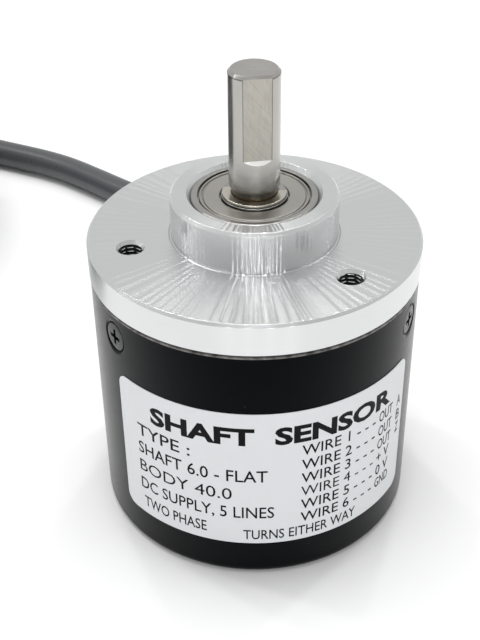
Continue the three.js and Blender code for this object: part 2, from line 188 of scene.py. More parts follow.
def noise(tree, point, perMillimetre, detail=3.0, stretch=(1, 1, 1)):
    spread = addNode(tree, "ShaderNodeMapping", {"Vector": point, "Scale": stretch}).outputs[0]
    plugs = {"Vector": spread, "Scale": perMillimetre / mm, "Detail": detail}
    return addNode(tree, "ShaderNodeTexNoise", plugs).outputs[0]


def mixColours(tree, factor, first, second):
    mix = addNode(tree, "ShaderNodeMix", data_type="RGBA")
    for place, value in ((0, factor), (6, first), (7, second)):
        if isinstance(value, bpy.types.NodeSocket):
            tree.links.new(value, mix.inputs[place])
        else:
            mix.inputs[place].default_value = (*value, 1) if isinstance(value, tuple) else value
    return mix.outputs[2]


def addBump(tree, shader, height, depth):
    bump = addNode(tree, "ShaderNodeBump", {"Height": height, "Distance": depth})
    feed(tree, shader, Normal=bump.outputs[0])


def shaded(colour, factor):
    return tuple(min(1, factor * part) for part in colour)


def axisCoordinates(tree, point):
    # distance from the shaft's axis, height, and the unit direction away from the axis
    parts = addNode(tree, "ShaderNodeSeparateXYZ", {0: point}).outputs
    across = addNode(tree, "ShaderNodeCombineXYZ", {"X": parts["X"], "Y": parts["Y"]}).outputs[0]
    radius = addNode(tree, "ShaderNodeVectorMath", {0: across}, operation="LENGTH").outputs["Value"]
    outwards = addNode(tree, "ShaderNodeVectorMath", {0: across}, operation="NORMALIZE").outputs[0]
    return radius, parts["Z"], outwards


def latheMarks(tree, radius, height, perMillimetre):
    # fine rings round the axis, on faces and walls alike
    travel = maths(tree, "ADD", radius, height)
    plugs = {"W": travel, "Scale": perMillimetre / mm, "Detail": 4.0, "Roughness": 0.7}
    return addNode(tree, "ShaderNodeTexNoise", plugs, noise_dimensions="1D").outputs[0]


def radialTangent(tree):
    return addNode(tree, "ShaderNodeTangent", direction_type="RADIAL", axis="Z").outputs[0]


chatter = {"rays": 96.0, "drift": 11.0, "driftScale": 5.0, "swellScale": 13.0, "rim": (19.4, 19.7)}


def chatterRelief(tree, radius, outwards, strength):
    # chatter of the facing tool: fine uneven rays, none on the rim
    drift, swell = (
        addNode(tree, "ShaderNodeTexNoise", {"Vector": outwards, "Scale": scale, "Detail": 0.0}).outputs[0]
        for scale in (chatter["driftScale"], chatter["swellScale"])
    )
    parts = addNode(tree, "ShaderNodeSeparateXYZ", {0: outwards}).outputs
    turn = maths(tree, "MULTIPLY", maths(tree, "ARCTAN2", parts["Y"], parts["X"]), chatter["rays"])
    wave = maths(tree, "SINE", maths(tree, "ADD", turn, maths(tree, "MULTIPLY", drift, chatter["drift"])))
    wave = maths(tree, "MULTIPLY", wave, remap(tree, swell, 0.35, 0.65, 0.55 * strength, 1.15 * strength))
    inner, outer = chatter["rim"]
    fading = remap(tree, radius, inner * mm, outer * mm, 1.0, 0.0)
    return maths(tree, "MULTIPLY", maths(tree, "MULTIPLY", wave, fading), radius)


def turnedMetal(name, colour, roughness, marks, streaks=0.0, anisotropy=0.7, tint=0.06):
    surface, tree, shader, point = newSurface(
        name, colour, roughness, 1.0, Anisotropic=anisotropy, Anisotropic_Rotation=0.25)
    radius, height, outwards = axisCoordinates(tree, point)
    rings = latheMarks(tree, radius, height, marks)
    cloud = noise(tree, point, 0.25)
    shade = maths(tree, "ADD", maths(tree, "MULTIPLY", rings, 0.5), maths(tree, "MULTIPLY", cloud, 0.5))
    feed(
        tree, shader,
        Base_Color=mixColours(tree, shade, shaded(colour, 1 - 4 * tint), shaded(colour, 1 + 2 * tint)),
        Roughness=remap(tree, rings, 0.2, 0.8, roughness * 0.94, roughness * 1.06),
        Tangent=radialTangent(tree),
    )
    relief = maths(tree, "MULTIPLY", rings, 0.00005 * mm)
    if streaks:
        relief = maths(tree, "ADD", relief, chatterRelief(tree, radius, outwards, streaks))
    addBump(tree, shader, relief, 1.0)
    return surface


def groundSteel(name, colour, roughness):
    # fine lines round the axis, painted shade low in the neck with brown oil at its foot, and a painted dark
    # line of shade at the edge under the tip
    surface, tree, shader, point = newSurface(
        name, colour, roughness, 1.0, Anisotropic=0.5, Anisotropic_Rotation=0.25)
    radius, height = axisCoordinates(tree, point)[:2]
    lines = latheMarks(tree, maths(tree, "MULTIPLY", radius, 0.2), height, 9)
    cloud = noise(tree, point, 0.5, stretch=(1, 1, 0.3))
    steel = mixColours(tree, cloud, shaded(colour, 0.9), shaded(colour, 1.1))
    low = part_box("front_retaining_ring")[1].z
    # painted shade: the steel goes nearly black from the clip's top up the neck, fading out 1.5 mm above it
    shade = remap(tree, height, low + 0.75 * mm, low + 1.5 * mm, 0.86, 0.0)
    steel = mixColours(tree, shade, steel, (0.06, 0.057, 0.046))
    oil = remap(tree, height, low, low + 0.4 * mm, 0.9, 0.0)
    oil = maths(tree, "MULTIPLY", oil, remap(tree, noise(tree, point, 0.8), 0.35, 0.6, 0.35, 1.0))
    steel = mixColours(tree, oil, steel, (0.10, 0.06, 0.02))
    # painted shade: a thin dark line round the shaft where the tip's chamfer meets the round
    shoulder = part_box("shaft")[1].z - 0.38 * mm
    away = maths(tree, "ABSOLUTE", maths(tree, "SUBTRACT", height, shoulder))
    edge = remap(tree, away, 0.03 * mm, 0.07 * mm, 0.85, 0.0)
    feed(
        tree, shader,
        Base_Color=mixColours(tree, edge, steel, (0.05, 0.048, 0.04)),
        Roughness=remap(tree, lines, 0.2, 0.8, roughness * 0.75, roughness * 1.3),
        Tangent=radialTangent(tree),
    )
    addBump(tree, shader, lines, 0.0006 * mm)
    return surface


def milledFlat(name, colour, roughness, facing, half):
    # the flat: fine scuffs that cross each other, and darker along both sides
    surface, tree, shader, point = newSurface(name, colour, roughness, 1.0)
    scuffs = noise(tree, point, 1.1, 5.0, stretch=(3.5, 1, 0.6))
    aslant = {"Vector": point, "Rotation": (0, math.radians(38), 0)}
    turned = addNode(tree, "ShaderNodeMapping", aslant).outputs[0]
    crossed = noise(tree, turned, 1.4, 5.0, stretch=(4.0, 1, 0.4))
    worn = maths(tree, "MULTIPLY", maths(tree, "ADD", scuffs, crossed), 0.5)
    milled = mixColours(tree, remap(tree, worn, 0.35, 0.65, 0, 1), shaded(colour, 0.86), shaded(colour, 1.08))
    sideways = math.radians(facing + 90)
    across = {0: point, 1: (math.cos(sideways), math.sin(sideways), 0)}
    along = addNode(tree, "ShaderNodeVectorMath", across, operation="DOT_PRODUCT").outputs["Value"]
    darkSides = remap(tree, maths(tree, "ABSOLUTE", along), (half - 0.12) * mm, (half - 0.05) * mm, 0.0, 0.7)
    feed(
        tree, shader,
        Base_Color=mixColours(tree, darkSides, milled, (0.08, 0.076, 0.066)),
        Roughness=remap(tree, worn, 0.3, 0.7, roughness * 0.8, roughness * 1.25),
    )
    addBump(tree, shader, worn, 0.004 * mm)
    return surface


def grainedSurface(made, colour, roughness, fine, broad, shades, gloss, relief):
    # fine grain in the gloss and the relief, broad clouds in the colour
    surface, tree, shader, point = made
    grain = noise(tree, point, *fine)
    feed(
        tree, shader,
        Base_Color=mixColours(tree, noise(tree, point, broad), *(shaded(colour, shade) for shade in shades)),
        Roughness=remap(tree, grain, 0.25, 0.75, *(roughness * part for part in gloss)),
    )
    addBump(tree, shader, grain, relief * mm)
    return surface


def pressedMetal(name, colour, roughness, grain=3.0, relief=0.0015):
    made = newSurface(name, colour, roughness, 1.0)
    return grainedSurface(made, colour, roughness, (grain, 5.0), 0.4, (0.82, 1.12), (0.8, 1.3), relief)


def mouldedSurface(name, colour, roughness, grain=2.0, relief=0.004, variation=0.15, **sockets):
    made = newSurface(name, colour, roughness, 0.0, **sockets)
    shades = (1 - variation, 1 + variation)
    return grainedSurface(made, colour, roughness, (grain, 4.0), 0.12, shades, (0.88, 1.12), relief)


def coverPaint(name, colour, roughness):
    # black paint: faint orange peel, a few specks of dust and a painted highlight along the top rim
    surface, tree, shader, point = newSurface(
        name, colour, roughness, 0.0, Specular_Tint=(0.05, 0.07, 0.09, 1), Specular_IOR_Level=0.22)
    peel = noise(tree, point, 1.6, 2.0)
    dust = addNode(tree, "ShaderNodeTexVoronoi", {"Vector": point, "Scale": 0.3 / mm, "Randomness": 1.0})
    speck = remap(tree, dust.outputs["Distance"], 0.012, 0.02, 0.5, 0.0)
    dusty = mixColours(tree, speck, colour, (0.5, 0.5, 0.48))
    height = axisCoordinates(tree, point)[1]
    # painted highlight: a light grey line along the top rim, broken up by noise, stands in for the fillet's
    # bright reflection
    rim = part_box("cover")[1].z
    worn = remap(tree, height, rim - 0.24 * mm, rim - 0.16 * mm, 0.0, 0.8)
    worn = maths(tree, "MULTIPLY", worn, remap(tree, noise(tree, point, 0.9), 0.35, 0.6, 0.3, 1.0))
    feed(
        tree, shader,
        Base_Color=mixColours(tree, worn, dusty, (0.3, 0.29, 0.28)),
        Roughness=remap(tree, peel, 0.3, 0.7, roughness * 0.9, roughness * 1.12),
    )
    addBump(tree, shader, peel, 0.0012 * mm)
    return surface


def clearSurface(name, colour, roughness):
    surface, tree, shader, point = newSurface(name, colour, roughness, 0.0, IOR=1.5, Transmission_Weight=0.9)
    haze = noise(tree, point, 0.7, 4.0)
    feed(tree, shader, Roughness=remap(tree, haze, 0.3, 0.7, roughness * 0.7, roughness * 1.5))
    return surface


def boardLaminate(name, colour, roughness):
    # solder mask with copper runs showing through it
    surface, tree, shader, point = newSurface(name, colour, roughness)
    bricks = {"Vector": point, "Scale": 0.35 / mm, "Mortar Size": 0.09, "Mortar": (1, 1, 1, 1)}
    bricks.update({"Color1": (0, 0, 0, 1), "Color2": (0, 0, 0, 1)})
    runs = addNode(tree, "ShaderNodeTexBrick", bricks).outputs["Color"]
    mask = mixColours(tree, noise(tree, point, 4.0, 2.0), (0.016, 0.09, 0.04), (0.025, 0.13, 0.06))
    feed(tree, shader, Base_Color=mixColours(tree, runs, mask, (0.05, 0.2, 0.08)))
    addBump(tree, shader, runs, 0.02 * mm)
    return surface


def braidedMetal(name, colour):
    surface, tree, shader, point = newSurface(name, colour, 0.35, 1.0)
    waves = {"Vector": point, "Scale": 0.9 / mm, "Distortion": 1.5}
    strands = addNode(tree, "ShaderNodeTexWave", waves, bands_direction="DIAGONAL").outputs["Fac"]
    feed(tree, shader, Base_Color=mixColours(tree, strands, shaded(colour, 0.55), colour))
    addBump(tree, shader, strands, 0.08 * mm)
    return surface


# name: maker, colour, then what the maker takes, such as roughness and grain
looks = {
    "turned_aluminium": (turnedMetal, (0.7, 0.71, 0.712), 0.22, 5.0, 0.00105, 0.97, 0.008),
    "black_cover": (coverPaint, (0.0008, 0.0011, 0.0015), 0.24),
    "black_screw": (pressedMetal, (0.055, 0.056, 0.058), 0.28),
    "label_film": (mouldedSurface, (0.66, 0.675, 0.69), 0.42, 1.2, 0.002, 0.02),
    "ground_shaft": (groundSteel, (0.43, 0.42, 0.395), 0.2),
    "bearing_steel": (turnedMetal, (0.4, 0.395, 0.38), 0.24, 4.0, 0.0, 0.5),
    "shield_steel": (turnedMetal, (0.42, 0.41, 0.38), 0.3, 2.5, 0.0, 0.6),
    "spring_steel": (pressedMetal, (0.56, 0.53, 0.46), 0.24, 1.2, 0.0002),
    "cage_brass": (pressedMetal, (0.6, 0.42, 0.16), 0.36),
    "machined_brass": (turnedMetal, (0.68, 0.5, 0.2), 0.25, 3.0),
    "disc_glass": (clearSurface, (0.8, 0.88, 0.9), 0.06),
    "dark_plastic": (mouldedSurface, (0.016, 0.016, 0.018), 0.5),
    "clear_epoxy": (clearSurface, (0.75, 0.78, 0.9), 0.05),
    "chip_resin": (mouldedSurface, (0.012, 0.012, 0.013), 0.55, 6.0, 0.01),
    "board_laminate": (boardLaminate, (0.02, 0.11, 0.05), 0.35),
    "capacitor_sleeve": (mouldedSurface, (0.02, 0.022, 0.08), 0.35, 1.0),
    "white_nylon": (mouldedSurface, (0.74, 0.72, 0.66), 0.45),
    "gland_rubber": (mouldedSurface, (0.012, 0.012, 0.013), 0.62, 3.0, 0.01),
    "cable_jacket": (mouldedSurface, (0.07, 0.075, 0.079), 0.3, 1.5, 0.01, 0.12),
    "tie_nylon": (mouldedSurface, (0.013, 0.013, 0.014), 0.4, 2.0),
    "lead_black_insulation": (mouldedSurface, (0.012, 0.012, 0.013), 0.4),
    "lead_white_insulation": (mouldedSurface, (0.78, 0.76, 0.72), 0.4, 2.0, 0.004, 0.04),
    "lead_orange_insulation": (mouldedSurface, (0.72, 0.22, 0.03), 0.4),
    "lead_brown_insulation": (mouldedSurface, (0.15, 0.06, 0.025), 0.4),
    "lead_blue_insulation": (mouldedSurface, (0.03, 0.08, 0.36), 0.4),
    "shield_braid": (braidedMetal, (0.62, 0.61, 0.58)),
}
finishes = {name: make(name, *values) for name, (make, *values) in looks.items()}
# painted shade: a near-black metal for the inside of the threaded holes, standing in for the shadow deep in
# them
paintedShadeHoleMetal = turnedMetal("painted_shade_hole", (0.03, 0.03, 0.03), 0.5, 3.0)
tinnedCopper = braidedMetal("tinned_copper", (0.7, 0.69, 0.66))
print("materials made")

nodeSlots = {part["node"]: part["material_slot"] for part in frame["record"]["subparts"]}
nodeBodies = {node: name for name, nodes in frame["record"]["behaviour"]["bodies"].items() for node in nodes}


# mesh helpers
def newPiece(name, mesh):
    piece = bpy.data.objects.new(name, mesh)
    bpy.context.scene.collection.objects.link(piece)
    return piece


def meshFrom(piece):
    # the piece's evaluated mesh as plain data
    bpy.context.view_layer.update()
    evaluated = piece.evaluated_get(bpy.context.evaluated_depsgraph_get())
    return bpy.data.meshes.new_from_object(evaluated)


def discard(*pieces):
    for piece in pieces:
        data = piece.data
        bpy.data.objects.remove(piece)
        if isinstance(data, bpy.types.Mesh):
            bpy.data.meshes.remove(data)


@contextmanager
def editing(mesh):
    form = bmesh.new()
    form.from_mesh(mesh)
    yield form
    form.to_mesh(mesh)
    form.free()


def shadeRound(mesh, sharpAngle=35):
    mesh.shade_smooth()
    mesh.set_sharp_from_angle(angle=math.radians(sharpAngle))
    return mesh


def tidyMesh(mesh, sharpAngle=35):
    with editing(mesh) as form:
        bmesh.ops.remove_doubles(form, verts=form.verts, dist=0.0005 * mm)
        bmesh.ops.dissolve_degenerate(form, dist=0.0005 * mm, edges=form.edges)
        bmesh.ops.recalc_face_normals(form, faces=form.faces)
    return shadeRound(mesh, sharpAngle)


def heights(node):
    # the lower and upper height of a CAD node, in millimetres
    return (corner.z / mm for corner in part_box(node))


def finishWith(piece, *materials):
    piece.data.materials.clear()
    for material in materials:
        piece.data.materials.append(material)


def roundNormals(mesh, radius):
    # true normals on a turned wall, so that what is cut into it leaves no bands
    normals = [corner.vector.copy() for corner in mesh.corner_normals]
    onRadius = [abs(Vector(point.co[:2]).length / mm - radius) < 0.005 for point in mesh.vertices]
    for face in mesh.polygons:
        onWall = all(onRadius[place] for place in face.vertices)
        if onWall and abs(face.normal.z) < 0.05:
            for corner in face.loop_indices:
                across = mesh.vertices[mesh.loops[corner].vertex_index].co
                normals[corner] = Vector((across.x, across.y, 0)).normalized()
    mesh.normals_split_custom_set(normals)
    return mesh


def standFor(piece, *nodes):
    # the piece takes the place, body and finish of these CAD nodes
    slot = nodeSlots[nodes[0]]
    if not any(piece.data.materials):
        finishWith(piece, finishes[slot])
    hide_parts(*nodes)
    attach(piece, nodeBodies[nodes[0]])
    return piece


def keepResult(piece):
    # the modifiers' result becomes the piece's own plain mesh
    mesh = meshFrom(piece)
    piece.modifiers.clear()
    old = piece.data
    piece.data = mesh
    bpy.data.meshes.remove(old)
    return piece


def combine(piece, others, operation="DIFFERENCE"):
    for other in others:
        change = piece.modifiers.new("change", "BOOLEAN")
        change.operation = operation
        change.solver = "EXACT"
        change.object = other
    keepResult(piece)
    discard(*others)
    return piece


# turned outline: corners are (radius, height, fillet) in millimetres, and each fillet becomes an arc
# a narrow flat strip beside each arc keeps the arc's shading to itself
guardStrip = 0.02


def roundedOutline(corners, closed, arcSteps=4):
    points = []
    total = len(corners)
    for place, (radius, height, fillet) in enumerate(corners):
        here = Vector((radius, height))
        ends = not closed and place in (0, total - 1)
        if fillet == 0 or ends:
            points.append(here)
            continue
        before = Vector(corners[place - 1][:2]) - here
        after = Vector(corners[(place + 1) % total][:2]) - here
        half = before.angle(after) / 2
        reach = min(fillet / math.tan(half), 0.45 * before.length, 0.45 * after.length)
        size = reach * math.tan(half)
        before.normalize()
        after.normalize()
        centre = here + (before + after).normalized() * (size / math.sin(half))
        first = here + before * reach - centre
        last = here + after * reach - centre
        sweep = first.angle_signed(last)
        guard = min(guardStrip, 0.2 * reach)
        points.append(here + before * (reach + guard))
        for step in range(arcSteps + 1):
            turn = -sweep * step / arcSteps
            spin = Matrix.Rotation(turn, 2)
            points.append(centre + spin @ first)
        points.append(here + after * (reach + guard))
    if closed:
        points.append(points[0])
    return points


def newGeometryTree(name, **inputs):
    tree = bpy.data.node_groups.new(name, "GeometryNodeTree")
    tree.interface.new_socket(name="Geometry", in_out="OUTPUT", socket_type="NodeSocketGeometry")
    for title, kind in {"Geometry": "Geometry", **inputs, "Material": "Material"}.items():
        title = title.replace("_", " ")
        tree.interface.new_socket(name=title, in_out="INPUT", socket_type=f"NodeSocket{kind}")
    return tree, addNode(tree, "NodeGroupInput").outputs


def sampled(tree, outline, row, value, kind):
    plugs = {"Geometry": outline, "Value": value, "Index": row}
    return addNode(tree, "GeometryNodeSampleIndex", plugs, data_type=kind, domain="POINT").outputs[0]


def buildTurnTree():
    # Geometry Nodes: turns an outline mesh round Z; where its "threaded" attribute is 1 it cuts a helix
    tree, inputs = newGeometryTree("turnOnAxis", Steps="Int", Pitch="Float", Thread_Depth="Float")
    outline = inputs["Geometry"]
    size = addNode(tree, "GeometryNodeAttributeDomainSize", {"Geometry": outline}, component="MESH")
    columns = maths(tree, "ADD", inputs["Steps"], 1.0)
    sides = {"Size X": 1.0, "Size Y": 1.0, "Vertices X": size.outputs["Point Count"], "Vertices Y": columns}
    grid = addNode(tree, "GeometryNodeMeshGrid", sides).outputs["Mesh"]
    index = addNode(tree, "GeometryNodeInputIndex").outputs[0]
    row = maths(tree, "FLOOR", maths(tree, "DIVIDE", index, columns))
    column = maths(tree, "MODULO", index, columns)
    share = maths(tree, "DIVIDE", column, inputs["Steps"])
    turn = maths(tree, "MULTIPLY", share, 2 * math.pi)
    position = addNode(tree, "GeometryNodeInputPosition").outputs[0]
    point = sampled(tree, outline, row, position, "FLOAT_VECTOR")
    attribute = {"Name": "threaded"}
    mark = addNode(tree, "GeometryNodeInputNamedAttribute", attribute, data_type="FLOAT").outputs[0]
    threaded = sampled(tree, outline, row, mark, "FLOAT")
    parts = addNode(tree, "ShaderNodeSeparateXYZ", {0: point}).outputs
    turns = maths(tree, "SUBTRACT", maths(tree, "DIVIDE", parts["Z"], inputs["Pitch"]), share)
    wave = maths(tree, "PINGPONG", turns, 0.5)
    depth = maths(tree, "MULTIPLY", maths(tree, "MULTIPLY", wave, 2.0), inputs["Thread Depth"])
    radius = maths(tree, "ADD", parts["X"], maths(tree, "MULTIPLY", depth, threaded))
    place = addNode(tree, "ShaderNodeCombineXYZ", {
        "X": maths(tree, "MULTIPLY", radius, maths(tree, "COSINE", turn)),
        "Y": maths(tree, "MULTIPLY", radius, maths(tree, "SINE", turn)),
        "Z": parts["Z"],
    }).outputs[0]
    moved = addNode(tree, "GeometryNodeSetPosition", {"Geometry": grid, "Position": place}).outputs[0]
    seam = {"Geometry": moved, "Distance": 0.0002 * mm}
    merged = addNode(tree, "GeometryNodeMergeByDistance", seam).outputs[0]
    finish(tree, merged, inputs["Material"])
    return tree


def finish(tree, geometry, material):
    plain = addNode(tree, "GeometryNodeRealizeInstances", {"Geometry": geometry}).outputs[0]
    painted = addNode(tree, "GeometryNodeSetMaterial", {"Geometry": plain, "Material": material}).outputs[0]
    addNode(tree, "NodeGroupOutput", {"Geometry": painted})


def buildRingTree():
    # Geometry Nodes: copies of one mesh, turned round Z
    tree, inputs = newGeometryTree("copiesRoundAxis", Count="Int", First_Angle="Float")
    points = addNode(tree, "GeometryNodePoints", {"Count": inputs["Count"]}).outputs[0]
    index = addNode(tree, "GeometryNodeInputIndex").outputs[0]
    stride = maths(tree, "DIVIDE", 2 * math.pi, inputs["Count"])
    angle = maths(tree, "ADD", maths(tree, "MULTIPLY", index, stride), inputs["First Angle"])
    turn = addNode(tree, "ShaderNodeCombineXYZ", {"Z": angle}).outputs[0]
    copies = addNode(tree, "GeometryNodeInstanceOnPoints", {
        "Points": points,
        "Instance": inputs["Geometry"],
        "Rotation": turn,
    }).outputs[0]
    finish(tree, copies, inputs["Material"])
    return tree


turnTree = buildTurnTree()
ringTree = buildRingTree()


def runTree(piece, tree, values):
    # sets the inputs by their identifiers, keeps the result as a plain mesh and takes the modifier off
    modifier = piece.modifiers.new(tree.name, "NODES")
    modifier.node_group = tree
    for item in tree.interface.items_tree:
        if item.in_out == "INPUT" and item.name in values:
            modifier[item.identifier] = values[item.name]
    return keepResult(piece)


def turnedPiece(name, corners, steps, closed=None, arcSteps=4, thread=None):
    closed = corners[0][0] > 0 if closed is None else closed
    points = roundedOutline(corners, closed, arcSteps)
    if thread:
        points = threadRows(points, thread)
    mesh = bpy.data.meshes.new(name)
    mesh.from_pydata(
        [(point[0] * mm, 0, point[1] * mm) for point in points],
        [(place, place + 1) for place in range(len(points) - 1)],
        [],
    )
    marks = mesh.attributes.new("threaded", "FLOAT", "POINT")
    if thread:
        for place, point in enumerate(points):
            inside = thread["from"] < point[1] < thread["to"] and abs(point[0] - thread["radius"]) < 1e-4
            marks.data[place].value = 1.0 if inside else 0.0
    piece = newPiece(name, mesh)
    runTree(piece, turnTree, {
        "Steps": steps,
        "Pitch": (thread or {"pitch": 1})["pitch"] * mm,
        "Thread Depth": (thread or {"depth": 0})["depth"] * mm,
    })
    tidyMesh(piece.data)
    return piece


def ringProfile(inner, outer, low, high, *fillets):
    # the four corners of a plain ring or, where inner is 0, of a rod
    corners = ((inner, low), (outer, low), (outer, high), (inner, high))
    return [(*corner, fillet) for corner, fillet in zip(corners, fillets or (0, 0, 0, 0))]


def threadRows(points, thread):
    # splits the stretch that is threaded into rows, eight to a pitch
    rows = []
    for first, second in zip(points, points[1:]):
        rows.append(first)
        onRadius = all(abs(point[0] - thread["radius"]) < 1e-4 for point in (first, second))
        if onRadius:
            count = int(8 * abs(second[1] - first[1]) / thread["pitch"])
            rows += [first.lerp(second, step / count) for step in range(1, count)]
    rows.append(points[-1])
    return rows


def transformed(piece, matrix):
    piece.data.transform(matrix)
    return piece


def shifted(piece, x, y=0):
    return transformed(piece, Matrix.Translation((x * mm, y * mm, 0)))


def radialPlace(angle, height):
    # lays a shape made along +Z outwards at an angle and a height
    outwards = Matrix.Rotation(math.radians(angle), 4, "Z") @ Matrix.Rotation(math.pi / 2, 4, "Y")
    return Matrix.Translation((0, 0, height * mm)) @ outwards


def block(name, lows, highs):
    mesh = bpy.data.meshes.new(name)
    with editing(mesh) as form:
        bmesh.ops.create_cube(form, size=1)
    low, high = Vector(lows) * mm, Vector(highs) * mm
    size = high - low
    mesh.transform(Matrix.Translation((low + high) / 2) @ Matrix.Diagonal((*size, 1)))
    return newPiece(name, mesh)


def ringOf(piece, count, firstAngle, material=None):
    values = {"Count": count, "First Angle": math.radians(firstAngle), "Material": material}
    return runTree(piece, ringTree, values)


# cable: out of the gland, down to the bench, round to the left and into a coil
cable = {
    "radius": 2.5,
    "route": [
        (0, 11, 7), (0, 22, 7), (0, 33, 7), (-0.6, 42, 6), (-2.7, 52, 4), (-6.9, 61.8, 2.9),
        (-12.6, 69.6, 2.6), (-19.3, 76.6, 2.6), (-29.5, 86.4, 2.6), (-41.6, 94, 2.6),
        (-51, 99.5, 2.6), (-60.3, 103.4, 2.6), (-69.8, 106.2, 3.0),
    ],
    "glandTip": 32,
    "coilCentre": (-80.3, 67),
    "coilStart": 75,
    "joinRadius": 40.6,
    "joinHeight": 3.0,
    "layerBase": 3.4,
    "layerStep": 5.0,
    "turns": [(35, 0), (35, 1), (35, 2), (30, 2), (30, 1), (30, 0), (25, 0), (25, 1), (25, 2)],
    "innerRadius": 20,
    "endRadius": 14.4,
    "endAngle": 596,
    "pointsPerTurn": 18,
    "length": 1.985,
}


def smooth(share):
    share = min(max(share, 0), 1)
    return share * share * (3 - 2 * share)


def between(start, end, share):
    return start + (end - start) * share


def catmullRom(stops, perSpan):
    # centripetal curve through the stops, ends continued in a straight line
    stops = [Vector(stop) for stop in stops]
    stops = [2 * stops[0] - stops[1], *stops, 2 * stops[-1] - stops[-2]]
    points = []
    for place in range(1, len(stops) - 2):
        a, b, c, d = stops[place - 1:place + 3]
        knots = [0.0]
        for first, second in ((a, b), (b, c), (c, d)):
            knots.append(knots[-1] + (second - first).length ** 0.5)
        t0, t1, t2, t3 = knots
        for step in range(perSpan):
            t = t1 + (t2 - t1) * step / perSpan
            a1 = a.lerp(b, (t - t0) / (t1 - t0))
            a2 = b.lerp(c, (t - t1) / (t2 - t1))
            a3 = c.lerp(d, (t - t2) / (t3 - t2))
            b1 = a1.lerp(a2, (t - t0) / (t2 - t0))
            b2 = a2.lerp(a3, (t - t1) / (t3 - t1))
            points.append(b1.lerp(b2, (t - t1) / (t2 - t1)))
    points.append(stops[-2])
    return points


def coilPoint(angle, radius, height):
    turn = math.radians(angle)
    x, y = cable["coilCentre"]
    return Vector((x + radius * math.cos(turn), y + radius * math.sin(turn), height))


def coilPoints():
    # turns in three columns of three layers, then a fourth column that winds down to the inside
    points = []
    perTurn = cable["pointsPerTurn"]
    slots = [*cable["turns"], (cable["innerRadius"], 2)]
    for step in range(1, perTurn * len(cable["turns"])):
        turn = step / perTurn
        whole = int(turn)
        shift = smooth((turn - whole - 0.83) / 0.17)
        radius = between(slots[whole][0], slots[whole + 1][0], shift)
        layer = between(slots[whole][1], slots[whole + 1][1], shift)
        height = cable["layerBase"] + cable["layerStep"] * layer
        join = smooth(turn / 0.2)
        radius = between(cable["joinRadius"], radius, join)
        height = between(cable["joinHeight"], height, join)
        points.append(coilPoint(cable["coilStart"] + 360 * turn, radius, height))
    sweep = cable["endAngle"] - cable["coilStart"]
    steps = round(sweep * perTurn / 360)
    for step in range(steps + 1):
        angle = cable["coilStart"] + sweep * step / steps
        inward = smooth((angle - (cable["endAngle"] - 110)) / 110)
        radius = between(cable["innerRadius"], cable["endRadius"], inward)
        top = cable["layerBase"] + 2 * cable["layerStep"]
        points.append(coilPoint(angle, radius, between(top, cable["layerBase"], smooth(step / steps))))
    return points


def curvePiece(name, points, radius, material, rings):
    curve = bpy.data.curves.new(name, "CURVE")
    curve.dimensions = "3D"
    curve.bevel_depth = radius * mm
    curve.bevel_resolution = rings
    curve.resolution_u = 4
    curve.use_fill_caps = True
    spline = curve.splines.new("BEZIER")
    spline.bezier_points.add(len(points) - 1)
    for knot, point in zip(spline.bezier_points, points):
        knot.co = Vector(point) * mm
        knot.handle_left_type = "AUTO"
        knot.handle_right_type = "AUTO"
    curve.materials.append(material)
    return newPiece(name, curve)


def addCable():
    route = catmullRom(cable["route"], 3)
    outside = [point for point in route if point.y > cable["glandTip"] - 8]
    piece = curvePiece("cable_run", outside + coilPoints(), cable["radius"], finishes["cable_jacket"], 6)
    return standFor(piece, "cable", "cable_coil")


cablePiece = addCable()
print("cable laid and coiled")

# mounting flange: the metal end of the encoder, with its pilot boss, bearing bore and threaded holes
flange = {
    "steps": 256,
    "radius": 20,
    "base": 33.7,
    "face": 37.7,
    "chamfer": 0.3,
    "bossRadius": 10,
    "bossTop": 42.9,
    "bossChamfer": 0.35,
    "boreMouth": 8,
    "pocket": 7.52,
    "shoulder": 6.4,
    "frontSeat": 37.55,
    "rearSeat": 28.5,
    "spigotRadius": 18.8,
    "spigotBase": 28.3,
    "hubRadius": 9.2,
    "hubBase": 22,
    "holeCircle": 15,
    "firstHole": -170,
    "holeDepth": 6.5,
    "screwHeight": 30.25,
    "postCircle": 15.9,
    "postRadius": 1.7,
    "postEnd": 13.3,
    # holes: radius, inner end, outer end
    "postHole": (1, 12.6, 20.2),
    "sideHole": (1.15, 13.4, 20),
}
holeThread = {"radius": 1.25, "depth": 0.26, "pitch": 0.5, "from": 31.9, "to": 37.55}


